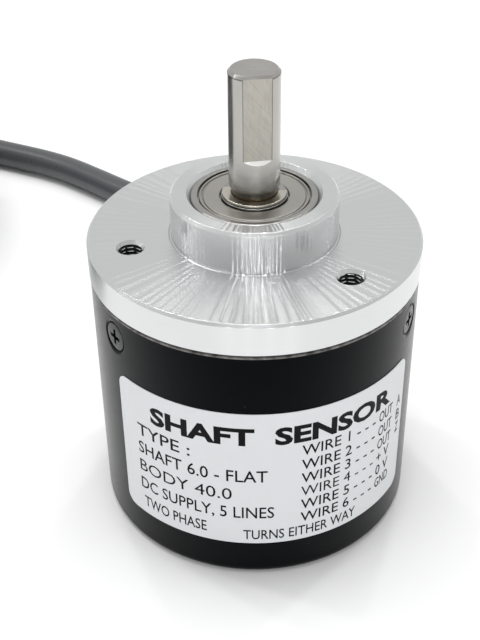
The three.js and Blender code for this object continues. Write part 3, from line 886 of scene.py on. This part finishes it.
def addFlange():
    size = flange
    outer, chamfer = size["radius"], size["chamfer"]
    boss, bossChamfer = size["bossRadius"], size["bossChamfer"]
    piece = turnedPiece("flange_and_boss", [
        (size["pocket"], size["hubBase"], 0.15), (size["hubRadius"], size["hubBase"], 0.3),
        (size["hubRadius"], size["spigotBase"], 0.25),
        (size["spigotRadius"] - 0.4, size["spigotBase"], 0.05),
        (size["spigotRadius"], size["spigotBase"] + 0.4, 0.05),
        (size["spigotRadius"], size["base"], 0.1), (outer, size["base"], 0.12),
        (outer, size["face"] - chamfer, 0.06), (outer - chamfer, size["face"], 0.06),
        (boss + 0.3, size["face"], 0.08), (boss + 0.1, size["face"] - 0.16, 0.08),
        (boss, size["face"] - 0.1, 0.05), (boss, size["bossTop"] - bossChamfer, 0.08),
        (boss - bossChamfer, size["bossTop"], 0.08), (size["boreMouth"], size["bossTop"], 0.06),
        (size["pocket"] + 0.02, size["bossTop"] - 0.6, 0.06), (size["pocket"], size["frontSeat"], 0.1),
        (size["shoulder"], size["frontSeat"], 0.1), (size["shoulder"], size["rearSeat"], 0.1),
        (size["pocket"], size["rearSeat"], 0.1),
    ], size["steps"])
    postTop = size["spigotBase"] + 0.5
    profile = ringProfile(0, size["postRadius"], size["postEnd"], postTop, 0, 0.1, 0, 0)
    post = turnedPiece("post", profile, 32)
    ringOf(shifted(post, size["postCircle"]), 3, 60)
    combine(piece, [post], "UNION")
    floor = size["face"] - size["holeDepth"]
    above = size["face"] + 0.3
    hole = turnedPiece("threadedHole", [
        (0, floor, 0), (holeThread["radius"], floor + 0.7, 0),
        (holeThread["radius"], size["face"] - 0.4, 0), (holeThread["radius"] + 0.7, above, 0),
        (0, above, 0),
    ], 48, thread=holeThread)
    ringOf(shifted(hole, size["holeCircle"]), 3, size["firstHole"])
    postHole = turnedPiece("postHole", ringProfile(0, *size["postHole"]), 24)
    ringOf(shifted(postHole, size["postCircle"]), 3, 60)
    side = turnedPiece("sideHole", ringProfile(0, *size["sideHole"]), 24)
    ringOf(transformed(side, radialPlace(0, size["screwHeight"])), 3, 90)
    combine(piece, [hole, postHole, side])
    mesh = tidyMesh(piece.data)
    finishWith(piece, finishes["turned_aluminium"], paintedShadeHoleMetal)
    axes = [Matrix.Rotation(math.radians(size["firstHole"] + 120 * step), 2) @ Vector((size["holeCircle"], 0))
            for step in range(3)]
    # faces deep inside the threaded holes get the painted-shade metal
    for face in mesh.polygons:
        away = min((Vector(face.center[:2]) / mm - axis).length for axis in axes)
        deep = size["holeDepth"] * mm > size["face"] * mm - face.center.z > 0.36 * mm
        face.material_index = 1 if deep and 1.3 < away < 1.6 else 0
    return standFor(piece, "mounting_flange")


addFlange()
print("flange turned, drilled and threaded")

# cover: drawn cup with a rounded foot, three screw dimples and the cable's hole
cover = {
    "steps": 224,
    "radius": 19.9,
    "wall": 0.8,
    "floor": 1.2,
    "top": 33.4,
    "foot": 1.1,
    "cableHole": 3.9,
    "cableHeight": 7,
    "dimpleMouth": 2.55,
}


def addCover():
    size = cover
    outer = size["radius"]
    inner = outer - size["wall"]
    piece = turnedPiece("cover_cup", [
        (0, 0, 0), (outer, 0, size["foot"]), (outer, size["top"], 0.14), (inner, size["top"], 0.14),
        (inner, size["floor"], 0.6), (0, size["floor"], 0),
    ], size["steps"], arcSteps=8)
    dimple = turnedPiece("dimple", [
        (0, inner - 1, 0), (1.5, inner - 1, 0), (1.5, inner + 0.2, 0.05), (1.85, outer - 0.3, 0.05),
        (1.95, outer - 0.16, 0.15), (size["dimpleMouth"], outer + 0.1, 0),
        (size["dimpleMouth"], outer + 0.6, 0), (0, outer + 0.6, 0),
    ], 64)
    ringOf(transformed(dimple, radialPlace(0, flange["screwHeight"])), 3, 90)
    cableHole = turnedPiece("cableHole", ringProfile(0, size["cableHole"], inner - 2, outer + 1), 64)
    transformed(cableHole, radialPlace(90, size["cableHeight"]))
    combine(piece, [dimple, cableHole])
    roundNormals(tidyMesh(piece.data), outer)
    return standFor(piece, "cover")


addCover()
print("cover drawn and pierced")

# side screws: countersunk heads with a cross recess, threaded shanks
sideScrew = {"head": 1.75, "headTop": 19.78, "tip": 14.2, "recess": 1.25, "recessDepth": 0.8}
screwThread = {"radius": 0.82, "depth": 0.17, "pitch": 0.4, "from": 14.3, "to": 18.6}


def crossCutters(size, top):
    # two tapered blades, as the tip of the driver
    blades = []
    for turn in (0, math.pi / 2):
        lows = (-size["recess"], -0.27, top - size["recessDepth"])
        blade = block("blade", lows, (size["recess"], 0.27, top + 0.3))
        for corner in blade.data.vertices:
            if corner.co.z < top * mm:
                corner.co.x *= 0.35
                corner.co.y *= 0.6
        blades.append(transformed(blade, Matrix.Rotation(turn, 4, "Z")))
    return blades


def addSideScrews():
    size = sideScrew
    top = size["headTop"]
    screw = turnedPiece("cover_screws_black", [
        (0, size["tip"], 0), (0.6, size["tip"], 0), (screwThread["radius"], size["tip"] + 0.3, 0),
        (screwThread["radius"], top - 0.95, 0), (size["head"], top - 0.12, 0.06),
        (size["head"] - 0.05, top - 0.03, 0.03), (1.2, top + 0.02, 0.2), (0, top + 0.04, 0),
    ], 48, thread=screwThread)
    combine(screw, crossCutters(size, top))
    tidyMesh(transformed(screw, radialPlace(0, flange["screwHeight"])).data)
    ringOf(screw, 3, 90, finishes["black_screw"])
    tidyMesh(screw.data)
    return standFor(screw, "cover_screw_1", "cover_screw_2", "cover_screw_3")


addSideScrews()
print("side screws made")

# label: a thin film bent round the front of the cover, and its generic print
label = {
    "surface": 19.93,
    "film": 0.07,
    "base": 5.4,
    "top": 25.6,
    "halfAngle": 58.5,
    "corner": 1.5,
    "ink": 0.02,
    "slice": 0.7,
}
wireRows = (18.9, 16.7, 14.6, 12.5, 10.4, 8.3)
signals = ("OUT", "OUT", "OUT", "+ V", "0 V", "GND")
labelWords = [
    # words, where they start round the cover, height of the line, size of capitals, width, boldness
    ("SHAFT  SENSOR", -15.0, 21.1, 2.45, 31.6, 0.1),
    ("TYPE :", -17.3, 18.2, 1.85, 7.6, 0.016),
    ("SHAFT 6.0 - FLAT", -17.3, 15.4, 1.85, 16.8, 0.016),
    ("BODY 40.0", -17.3, 12.5, 1.85, 12.6, 0.0),
    ("DC SUPPLY, 5 LINES", -17.3, 9.6, 1.85, 17.6, 0.016),
    ("TWO PHASE", -16.9, 6.7, 1.75, 9.0, 0.016),
    *((f"WIRE {number + 1} - - -", 3.5, row, 1.6, 10.4, 0.0 if number == 3 else 0.016)
      for number, row in enumerate(wireRows)),
    *((signal, 14.6, row, 1.6, 2.6 if " " in signal else 2.8, 0.016)
      for signal, row in zip(signals, wireRows)),
    *((channel, 18.6, row, 1.6, 0.9, 0.016) for channel, row in zip("ABZ", wireRows)),
    ("TURNS EITHER WAY", -3.4, 6.1, 1.6, 14.6, 0.016),
]


def wrapped(mesh, surface):
    # flat x, y, z in millimetres become distance round the cover, height and distance out from its surface
    reach = int(math.radians(label["halfAngle"]) * surface / label["slice"])
    with editing(mesh) as form:
        for step in range(-reach, reach + 1):
            parts = form.verts[:] + form.edges[:] + form.faces[:]
            seam = (step * label["slice"], 0, 0)
            bmesh.ops.bisect_plane(form, geom=parts, plane_co=seam, plane_no=(1, 0, 0))
        for corner in form.verts:
            angle = corner.co.x / surface - math.pi / 2
            radius = surface + corner.co.z
            corner.co = Vector((radius * math.cos(angle), radius * math.sin(angle), corner.co.y)) * mm
        bmesh.ops.triangulate(form, faces=form.faces)
        bmesh.ops.recalc_face_normals(form, faces=form.faces)
    return mesh


def addLabel():
    half = math.radians(label["halfAngle"]) * label["surface"]
    form = bmesh.new()
    corners = []
    for side, level, first in ((1, 1, 0), (-1, 1, 90), (-1, 0, 180), (1, 0, 270)):
        centreX = side * (half - label["corner"])
        centreY = label["top"] - label["corner"] if level else label["base"] + label["corner"]
        for step in range(9):
            turn = math.radians(first + 90 * step / 8)
            corners.append(form.verts.new((
                centreX + label["corner"] * math.cos(turn),
                centreY + label["corner"] * math.sin(turn),
                0,
            )))
    face = form.faces.new(corners)
    raised = bmesh.ops.extrude_face_region(form, geom=[face])["geom"]
    lifted = [part for part in raised if isinstance(part, bmesh.types.BMVert)]
    bmesh.ops.translate(form, vec=(0, 0, label["film"]), verts=lifted)
    mesh = bpy.data.meshes.new("label_sheet")
    form.to_mesh(mesh)
    form.free()
    shadeRound(wrapped(mesh, label["surface"]))
    return standFor(newPiece("label_sheet", mesh), "rating_label")


def lineOfPrint(words, start, height, capital, width, bold):
    curve = bpy.data.curves.new("words", "FONT")
    curve.body = words
    curve.size = 1.0
    curve.resolution_u = 3
    curve.extrude = 0.5
    curve.offset = bold * 0.4
    piece = newPiece("words", curve)
    mesh = meshFrom(piece)
    bpy.data.objects.remove(piece)
    bpy.data.curves.remove(curve)
    capHeight = 0.73
    left = min(vertex.co.x for vertex in mesh.vertices)
    right = max(vertex.co.x for vertex in mesh.vertices)
    stretch = Matrix.Diagonal((width / (right - left), capital / capHeight, label["ink"], 1))
    place = Matrix.Translation((start, height, label["film"]))
    mesh.transform(place @ stretch @ Matrix.Translation((-left, 0, 0)))
    return mesh


def addPrint():
    form = bmesh.new()
    for line in labelWords:
        mesh = lineOfPrint(*line)
        form.from_mesh(wrapped(mesh, label["surface"]))
        bpy.data.meshes.remove(mesh)
    mesh = bpy.data.meshes.new("label_print")
    form.to_mesh(mesh)
    form.free()
    mesh.materials.append(labelInk)
    piece = newPiece("label_print", mesh)
    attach(piece, nodeBodies["rating_label"])
    return piece


labelInk = mouldedSurface(
    "label_ink", (0.003, 0.003, 0.0035), 0.6, 3.0, 0.002, Specular_Tint=(0.1, 0.1, 0.1, 1))
addLabel()
addPrint()
print("label bent and printed")

# shaft: 6 mm, with a flat, a neck over the front clip and a groove for the rear one
shaft = {
    "steps": 128,
    "radius": 3,
    "tip": 58.1,
    "end": 14.9,
    "chamfer": 0.35,
    "groove": 2.7,
    "neckTop": 43.9,
    "clipBase": 42.6,
    "rearGroove": (21.7, 22.55),
    "flatDistance": 2.49,
    "flatLength": 10.1,
    "flatAngle": -87,
    "flatChamfer": 0.3,
    "stepSlope": 0.75,
}
flatHalf = math.sqrt(shaft["radius"] ** 2 - shaft["flatDistance"] ** 2)
flatSteel = milledFlat("milled_flat", (0.43, 0.41, 0.37), 0.36, shaft["flatAngle"], flatHalf)
# painted highlight: near-white metal for the sloped step where the flat runs out, so that it shows bright
stepHighlightSteel = pressedMetal("painted_highlight_step", (0.9, 0.9, 0.88), 0.5)


def addShaft():
    size = shaft
    radius, chamfer = size["radius"], size["chamfer"]
    low, high = size["rearGroove"]
    piece = turnedPiece("shaft_ground", [
        (0, size["end"], 0), (radius - chamfer, size["end"], 0.06),
        (radius, size["end"] + chamfer, 0.06), (radius, low, 0.05), (size["groove"], low, 0.05),
        (size["groove"], high, 0.05), (radius, high, 0.05), (radius, size["clipBase"], 0.05),
        (size["groove"], size["clipBase"], 0.05), (size["groove"], size["neckTop"] - 0.1, 0.05),
        (radius, size["neckTop"] + 0.1, 0.08), (radius, size["tip"] - chamfer, 0.05),
        (radius - chamfer, size["tip"], 0.05), (0.45, size["tip"], 0.03), (0, size["tip"] - 0.12, 0),
    ], size["steps"])
    flatFoot = size["tip"] - size["flatLength"]
    cutter = block("flatCutter", (size["flatDistance"], -4, flatFoot), (6, 4, size["tip"] + 2))
    # the cutter's foot slopes outwards, so the flat runs out in a lit step
    for corner in cutter.data.vertices:
        if corner.co.x > 5 * mm and corner.co.z < (flatFoot + 1) * mm:
            corner.co.z -= (6 - size["flatDistance"]) * size["stepSlope"] * mm
    turn = Matrix.Rotation(math.radians(size["flatAngle"]), 4, "Z")
    transformed(cutter, turn)
    # the tip's chamfer runs on along the flat
    bevel = block("bevelCutter", (0, -4, 0), (4, 4, 4))
    corner = Vector((size["flatDistance"], 0, size["tip"] - size["flatChamfer"])) * mm
    tilt = Matrix.Rotation(math.radians(-40), 4, "Y")
    transformed(bevel, turn @ Matrix.Translation(corner) @ tilt)
    combine(piece, [cutter, bevel])
    finishWith(piece, finishes["ground_shaft"], flatSteel, stepHighlightSteel)
    outwards = turn @ Vector((1, 0, 0))
    mesh = tidyMesh(piece.data, 25)
    for face in mesh.polygons:
        # faces on the flat get the milled steel, faces on the step the painted-highlight steel
        facing = face.normal.dot(outwards)
        onFlat = facing > 0.98 and abs(face.center.dot(outwards) - size["flatDistance"] * mm) < 0.02 * mm
        sloped = 0.4 < facing < 0.9 and 0.4 < face.normal.z < 0.95
        onStep = sloped and abs(face.center.z / mm - flatFoot) < 0.6
        face.material_index = 1 if onFlat else 2 if onStep else 0
    return standFor(piece, "shaft")


addShaft()
print("shaft ground and milled")

# clips: rings that snap into the shaft's grooves; the front one is a half moon
clips = {
    "inner": 2.75,
    "steps": 96,
    "front": {"node": "front_retaining_ring", "openAngle": 76.5, "openFrom": 0.45, "openWidth": 10},
    "rear": {"node": "rear_retaining_ring", "openAngle": 220, "openFrom": 2, "openWidth": 1.8},
}


def addClip(name, size, outer):
    low, high = heights(size["node"])
    profile = ringProfile(clips["inner"], outer, low, high, 0.05, 0.08, 0.1, 0.05)
    piece = turnedPiece(name, profile, clips["steps"])
    half = size["openWidth"] / 2
    opening = block("opening", (size["openFrom"], -half, low - 1), (size["openFrom"] + 5, half, high + 1))
    combine(piece, [transformed(opening, Matrix.Rotation(math.radians(size["openAngle"]), 4, "Z"))])
    tidyMesh(piece.data)
    return standFor(piece, size["node"])


addClip("front_clip_half_moon", clips["front"], 3.8)
addClip("rear_clip_ring", clips["rear"], 4.2)

# ball bearings: races with ball grooves, pressed shields, brass cages and balls
bearing = {
    "steps": 160,
    "radius": 7.5,
    "width": 5,
    "bore": 3.02,
    "ballRadius": 1.19,
    "ballCircle": 5.25,
    "balls": 7,
    "outerLand": 6.15,
    "innerLand": 4.3,
    "rim": 3.9,
    "rimDepth": 0.62,
    "shieldBore": 4.12,
    "seat": 6.72,
    "seatDepth": 0.65,
    "cage": (4.8, 5.7, 1.5),
    "pocket": (1.27, 4.2, 6.3),
}


def grooveCorners(middle, land, side):
    radius = bearing["ballRadius"] + 0.06
    reach = math.acos((land - bearing["ballCircle"]) * side / radius)
    circle, steps = bearing["ballCircle"], 10
    turns = [reach * (2 * step / steps - 1) for step in range(steps + 1)]
    return [(circle + side * radius * math.cos(turn), middle + radius * math.sin(turn), 0) for turn in turns]


def shieldCorners(outside, inside):
    plate = math.copysign(0.14, outside - inside)
    return [
        (bearing["shieldBore"], inside, 0.05), (6.0, inside, 0.05), (6.0, inside - 0.1 * plate, 0.03),
        (6.5, inside - 0.1 * plate, 0.08), (6.5, outside - 0.3 * plate, 0.07),
        (6.28, outside - 0.3 * plate, 0.07), (6.26, inside + 0.9 * plate, 0.04),
        (6.08, inside + 0.9 * plate, 0.04), (6.0, outside - 0.9 * plate, 0.08),
        (5.8, outside - 0.8 * plate, 0.1), (bearing["shieldBore"], outside - 0.8 * plate, 0.06),
    ]


def addBearing(label, base):
    size = bearing
    top = base + size["width"]
    middle = base + size["width"] / 2
    seat, depth, land = size["seat"], size["seatDepth"], size["outerLand"]
    outer = turnedPiece(f"{label}_race_outer", [
        (seat, base, 0.06), (size["radius"], base, 0.25), (size["radius"], top, 0.25), (seat, top, 0.06),
        (seat, top - depth, 0.03), (land, top - depth, 0.03),
        *reversed(grooveCorners(middle, land, 1)),
        (land, base + depth, 0.03), (seat, base + depth, 0.03),
    ], size["steps"])
    standFor(outer, f"{label}_outer_race")
    inner = turnedPiece(f"{label}_race_inner", [
        (size["bore"], base, 0.15), (size["rim"], base, 0.06),
        (size["rim"], base + size["rimDepth"], 0.05), (size["innerLand"], base + size["rimDepth"], 0.05),
        *grooveCorners(middle, size["innerLand"], -1),
        (size["innerLand"], top - size["rimDepth"], 0.05), (size["rim"], top - size["rimDepth"], 0.05),
        (size["rim"], top, 0.06), (size["bore"], top, 0.15),
    ], size["steps"])
    standFor(inner, f"{label}_inner_race")
    for side, outside, inside in (("upper", top - 0.08, top - 0.5), ("lower", base + 0.08, base + 0.5)):
        shield = turnedPiece(f"{label}_shield_{side}", shieldCorners(outside, inside), size["steps"])
        standFor(shield, f"{label}_{side}_shield")
    arc = [math.pi * step / 16 for step in range(17)]
    ballRadius = size["ballRadius"]
    profile = [(ballRadius * math.sin(turn), middle - ballRadius * math.cos(turn), 0) for turn in arc]
    ball = turnedPiece(f"{label}_balls", profile, 32, closed=False)
    shifted(ball, size["ballCircle"])
    ringOf(ball, size["balls"], 0, finishes["bearing_steel"])
    standFor(ball, *[f"{label}_ball_{number + 1}" for number in range(size["balls"])])
    cageInner, cageOuter, cageHalf = size["cage"]
    profile = ringProfile(cageInner, cageOuter, middle - cageHalf, middle + cageHalf, *[0.08] * 4)
    cage = turnedPiece(f"{label}_cage", profile, 112)
    pocket = turnedPiece("pocket", ringProfile(0, *size["pocket"]), 32)
    ringOf(transformed(pocket, radialPlace(0, middle)), size["balls"], 0)
    combine(cage, [pocket])
    tidyMesh(cage.data)
    standFor(cage, f"{label}_ball_cage")


addBearing("front", 37.6)
addBearing("rear", 22.6)
print("bearings built")

# rotor inside the cover: hub, glass code disc with its slots, and clamp ring
codeDisc = {"bore": 4.75, "radius": 13.4, "trackInner": 10.6, "trackOuter": 12.9, "slots": 72}


def addDisc():
    low, high = heights("code_disc")
    profile = ringProfile(codeDisc["bore"], codeDisc["radius"], low, high, 0.05, 0.08, 0.08, 0.05)
    standFor(turnedPiece("code_disc_glass", profile, 144), "code_disc")
    stroke = math.pi / codeDisc["slots"]
    mesh = bpy.data.meshes.new("code_disc_track")
    corners = []
    inner, outer = codeDisc["trackInner"], codeDisc["trackOuter"]
    for level in (high + 0.005, high + 0.015):
        for reach, turn in ((inner, 0), (outer, 0), (outer, stroke), (inner, stroke)):
            corners.append((reach * math.cos(turn), reach * math.sin(turn), level))
    sides = [(place, (place + 1) % 4, (place + 1) % 4 + 4, place + 4) for place in range(4)]
    mesh.from_pydata(corners, [], [(3, 2, 1, 0), (4, 5, 6, 7), *sides])
    mesh.transform(Matrix.Scale(mm, 4))
    track = ringOf(newPiece("code_disc_track", mesh), codeDisc["slots"], 0, finishes["dark_plastic"])
    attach(track, nodeBodies["code_disc"])


hubSize = {"bore": 3.02, "sleeve": 4.6, "flange": 6.8, "flangeThick": 1.35, "clamp": 6.6}


def addHub():
    bore, sleeve, outer = hubSize["bore"], hubSize["sleeve"], hubSize["flange"]
    low, high = heights("disc_hub")
    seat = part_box("code_disc")[1].z / mm + 0.05
    top = seat + hubSize["flangeThick"]
    hub = turnedPiece("disc_hub_brass", [
        (bore, low, 0.1), (sleeve, low, 0.1), (sleeve, seat, 0.05), (outer, seat, 0.08),
        (outer, top, 0.15), (sleeve, top, 0.1), (sleeve, high, 0.15), (bore, high, 0.1),
    ], 112)
    standFor(hub, "disc_hub")
    low, high = heights("disc_clamp_ring")
    profile = ringProfile(codeDisc["bore"], hubSize["clamp"], low, high, 0.08, 0.15, 0.05, 0.05)
    standFor(turnedPiece("disc_clamp_brass", profile, 112), "disc_clamp_ring")


addDisc()
addHub()
print("disc and hub built")

# light path, board and its parts: edges broken on the plain blocks
edgeBreaks = {
    "emitter_holder": 0.25,
    "photo_sensor": 0.12,
    "scanning_reticle": 0.05,
    "line_driver_chip": 0.12,
    "wire_connector": 0.2,
}


def softened(node, width):
    # a merged copy of the CAD solid with its edges rounded
    mesh = frame["nodes"][node].data.copy()
    mesh.materials.clear()
    with editing(mesh) as form:
        bmesh.ops.remove_doubles(form, verts=form.verts, dist=0.001 * mm)
        bmesh.ops.dissolve_limit(form, angle_limit=math.radians(3), verts=form.verts, edges=form.edges)
        edges = [edge for edge in form.edges if edge.calc_face_angle(0) > math.radians(40)]
        bmesh.ops.bevel(form, geom=edges, offset=width * mm, segments=3, profile=0.5, affect="EDGES")
        bmesh.ops.recalc_face_normals(form, faces=form.faces)
    return standFor(newPiece(f"{node}_moulded", shadeRound(mesh, 40)), node)


for node, width in edgeBreaks.items():
    softened(node, width)


def addEmitter():
    low, high = (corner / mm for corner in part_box("infrared_emitter"))
    middle = (low + high) / 2
    radius = (high.x - low.x) / 2
    arc = [math.pi * step / 20 for step in range(11)]
    dome = [(radius * math.sin(turn), low.z + radius * (1 - math.cos(turn)), 0) for turn in arc]
    foot = [(radius, high.z - 0.5, 0), (radius, high.z, 0.1), (0, high.z, 0)]
    lamp = turnedPiece("emitter_dome", dome + foot, 48)
    shifted(lamp, middle.x, middle.y)
    standFor(lamp, "infrared_emitter")


def addCapacitor():
    low, high = (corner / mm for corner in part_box("smoothing_capacitor"))
    middle = (low + high) / 2
    radius = (high.x - low.x) / 2
    can = turnedPiece("capacitor_can", [
        (0, low.z, 0), (radius - 0.35, low.z, 0.05), (radius - 0.3, low.z + 0.08, 0.05),
        (radius, low.z, 0.4), (radius, high.z - 1.2, 0.1), (radius - 0.2, high.z - 0.9, 0.1),
        (radius, high.z - 0.6, 0.1), (radius, high.z, 0.25), (0, high.z, 0),
    ], 64)
    shifted(can, middle.x, middle.y)
    standFor(can, "smoothing_capacitor")


boardThread = {"radius": 0.75, "depth": -0.14, "pitch": 0.35}


def addBoardScrew(node):
    low, high = (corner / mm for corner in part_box(node))
    middle = (low + high) / 2
    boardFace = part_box("circuit_board")[0].z / mm - 0.05
    screw = turnedPiece(f"{node}_slotted", [
        (0, low.z, 0), (1.25, low.z + 0.05, 0.2), (1.7, low.z + 0.45, 0.2), (1.7, boardFace, 0.06),
        (0.75, boardFace, 0.05), (0.75, high.z - 0.2, 0.05), (0.5, high.z, 0.05), (0, high.z, 0),
    ], 48, thread={**boardThread, "from": boardFace + 0.4, "to": high.z - 0.3})
    slot = block("slot", (-2.5, -0.25, low.z - 1), (2.5, 0.25, low.z + 0.6))
    combine(screw, [slot])
    tidyMesh(screw.data)
    shifted(screw, middle.x, middle.y)
    standFor(screw, node)


boardSize = {"radius": 17.3, "hole": 1.2}


def addBoard():
    low, high = heights("circuit_board")
    profile = ringProfile(0, boardSize["radius"], low, high, 0, 0.06, 0.06, 0)
    board = turnedPiece("circuit_board_round", profile, 144)
    hole = turnedPiece("boardHole", ringProfile(0, boardSize["hole"], low - 1, high + 1), 32)
    combine(board, [ringOf(shifted(hole, flange["postCircle"]), 3, 60)])
    tidyMesh(board.data)
    standFor(board, "circuit_board")


washerSize = {"inner": 6.5, "outer": 7.3, "half": 0.125, "wave": 0.18}


def addWaveWasher():
    low, high = heights("preload_wave_washer")
    middle, half = (low + high) / 2, washerSize["half"]
    fillets = [0.04] * 4
    profile = ringProfile(washerSize["inner"], washerSize["outer"], middle - half, middle + half, *fillets)
    washer = turnedPiece("wave_washer_sprung", profile, 144)
    for corner in washer.data.vertices:
        corner.co.z += washerSize["wave"] * mm * math.cos(3 * math.atan2(corner.co.y, corner.co.x))
    standFor(washer, "preload_wave_washer")


addEmitter()
addCapacitor()
for number in (1, 2, 3):
    addBoardScrew(f"board_screw_{number}")
addBoard()
addWaveWasher()
print("board and light path built")

# cable gland: ribbed rubber sleeve, with the crimp band and the bundle of cores inside the cover
gland = {"bore": 2.62, "lip": 4.3, "neck": 3.6, "collar": 4.8, "ribs": 3, "ribPitch": 2.9, "tip": 32}


def alongCable(piece):
    return transformed(piece, radialPlace(90, cover["cableHeight"]))


def addGland():
    size = gland
    corners = [
        (size["bore"], 16.4, 0.1), (size["lip"], 16.4, 0.2), (size["lip"], 17.9, 0.15),
        (size["neck"], 17.9, 0.1), (size["neck"], 20.1, 0.1), (size["collar"], 20.1, 0.2),
        (size["collar"], 21.3, 0.3),
    ]
    for rib in range(size["ribs"]):
        start = 21.9 + size["ribPitch"] * rib
        outer = 4.3 - 0.25 * rib
        corners += [(outer - 0.6, start - 0.1, 0.15), (outer, start, 0.2)]
        corners += [(outer - 0.1, start + 1.7, 0.25), (outer - 0.6, start + 1.9, 0.15)]
    corners += [(3.55, 30.6, 0.2), (3.3, size["tip"], 0.25), (size["bore"], size["tip"], 0.1)]
    piece = alongCable(turnedPiece("cable_gland_ribbed", corners, 96))
    return standFor(piece, "cable_gland")


coreBundle = (1.1, 5.1, 10.7)  # radius, inner end, outer end


def addCrimp():
    band = turnedPiece("crimp_band_pressed", [
        (2.8, 12.4, 0.08), (3.4, 12.4, 0.12), (3.4, 13.3, 0.1), (3.2, 13.6, 0.1), (3.2, 14.2, 0.1),
        (3.4, 14.5, 0.1), (3.4, 15.4, 0.12), (2.8, 15.4, 0.08),
    ], 72)
    standFor(alongCable(band), "crimp_band")
    profile = ringProfile(0, *coreBundle, 0, 0.15, 0.15, 0)
    cores = turnedPiece("core_bundle_wrapped", profile, 40)
    standFor(alongCable(cores), "core_bundle")


glandPiece = addGland()
addCrimp()
print("gland and crimp built")

# cable tie round the coil: a flat band with its lock and a cut tail
tie = {"angle": 20, "width": 2.6, "thick": 0.6, "gap": 0.3, "corner": 3.0, "inner": 17.3, "outer": 37.7,
       "base": 0.9, "top": 15.9}


def roundedLoop(left, right, low, high, corner, steps=6):
    points = []
    for x, z, first in ((right, high, 0), (left, high, 90), (left, low, 180), (right, low, 270)):
        centreX = x - corner if x == right else x + corner
        centreZ = z - corner if z == high else z + corner
        for step in range(steps + 1):
            turn = math.radians(first + 90 * step / steps)
            points.append((centreX + corner * math.cos(turn), centreZ + corner * math.sin(turn)))
    return points


def addTie():
    size = tie
    gap, thick, half = size["gap"], size["thick"], size["width"] / 2
    left, right, low, high = (size[side] for side in ("inner", "outer", "base", "top"))
    inside, outside = (
        roundedLoop(left - room, right + room, low - room, high + room, corner)
        for room, corner in ((gap, size["corner"] - thick), (gap + thick, size["corner"]))
    )
    count = len(inside)
    form = bmesh.new()
    loops = [[form.verts.new((x, side, z)) for x, z in loop]
             for side, loop in ((-half, outside), (half, outside), (half, inside), (-half, inside))]
    for first, second in ((0, 1), (1, 2), (2, 3), (3, 0)):
        for place in range(count):
            after = (place + 1) % count
            one, other = loops[first], loops[second]
            form.faces.new((one[place], one[after], other[after], other[place]))
    bmesh.ops.recalc_face_normals(form, faces=form.faces)
    edges = [edge for edge in form.edges if edge.calc_face_angle(0) > math.radians(60)]
    bmesh.ops.bevel(form, geom=edges, offset=0.15, segments=2, profile=0.5, affect="EDGES")
    mesh = bpy.data.meshes.new("coil_tie_band")
    form.to_mesh(mesh)
    form.free()
    mesh.transform(Matrix.Scale(mm, 4))
    band = newPiece("coil_tie_band", mesh)
    middle = (size["inner"] + size["outer"]) / 2
    top = size["top"] + gap
    lock = block("lock", (middle - 2.6, -2.4, top + 0.1), (middle + 2.6, 2.4, top + 3.4))
    bevelled(lock, 0.45)
    tail = block("tail", (middle + 0.6, -half + 0.1, top + 0.9), (middle + 9.5, half - 0.1, top + 1.75))
    bevelled(tail, 0.15)
    combine(band, [lock, tail], "UNION")
    tidyMesh(band.data, 40)
    centre = Vector((*cable["coilCentre"], 0)) * mm
    transformed(band, Matrix.Translation(centre) @ Matrix.Rotation(math.radians(size["angle"]), 4, "Z"))
    return standFor(band, "coil_tie")


def bevelled(piece, width):
    with editing(piece.data) as form:
        bmesh.ops.bevel(form, geom=form.edges[:], offset=width * mm, segments=3, profile=0.5, affect="EDGES")


tiePiece = addTie()

# stripped leads: they leave the jacket's end in a bundle and fan out inside the coil
leads = {
    "names": ["lead_black", "lead_white", "lead_orange", "lead_brown", "lead_blue", "lead_shield"],
    "radius": 0.65,
    "start": 250,
    "sweep": 105,
    "circle": 12.9,
    "spacing": 1.4,
    "bareLength": 6,
}


def leadPoint(offset, share):
    radius = leads["circle"] - leads["spacing"] * offset * (0.95 + 0.25 * share) - 0.6 * share
    height = leads["radius"] + 1.2 * (1 - share) ** 3
    return coilPoint(leads["start"] + leads["sweep"] * share, radius, height)


def addLead(place, name):
    offset = place - (len(leads["names"]) - 1) / 2
    ring = 2 * math.pi * place / len(leads["names"])
    root = cable["endAngle"] - 360
    across, up = math.cos(ring), math.sin(ring)
    covered = [
        coilPoint(root + ahead, cable["endRadius"] + wide * across, cable["layerBase"] + tall * up)
        for ahead, wide, tall in ((-1, 1.45, 1.45), (5, 1.5, 1.3))
    ]
    bare = 1 - leads["bareLength"] / 30
    tip = [leadPoint(offset, bare + (1 - bare) * step / 4) for step in range(5)]
    inner = curvePiece("tin", tip, 0.4, tinnedCopper, 3)
    covered += [leadPoint(offset, bare * step / 7 + 0.03) for step in range(8)]
    outer = curvePiece("skin", covered, leads["radius"], finishes[nodeSlots[name]], 3)
    form = bmesh.new()
    mesh = bpy.data.meshes.new(f"{name}_stripped")
    mesh.materials.append(finishes[nodeSlots[name]])
    mesh.materials.append(tinnedCopper)
    for slot, part in enumerate((outer, inner)):
        solid = meshFrom(part)
        for face in solid.polygons:
            face.material_index = slot
        form.from_mesh(solid)
        bpy.data.objects.remove(part)
        bpy.data.meshes.remove(solid)
    form.to_mesh(mesh)
    form.free()
    tidyMesh(mesh, 50)
    return standFor(newPiece(f"{name}_stripped", mesh), name)


leadPieces = [addLead(place, name) for place, name in enumerate(leads["names"])]
print("coil tied and leads stripped")
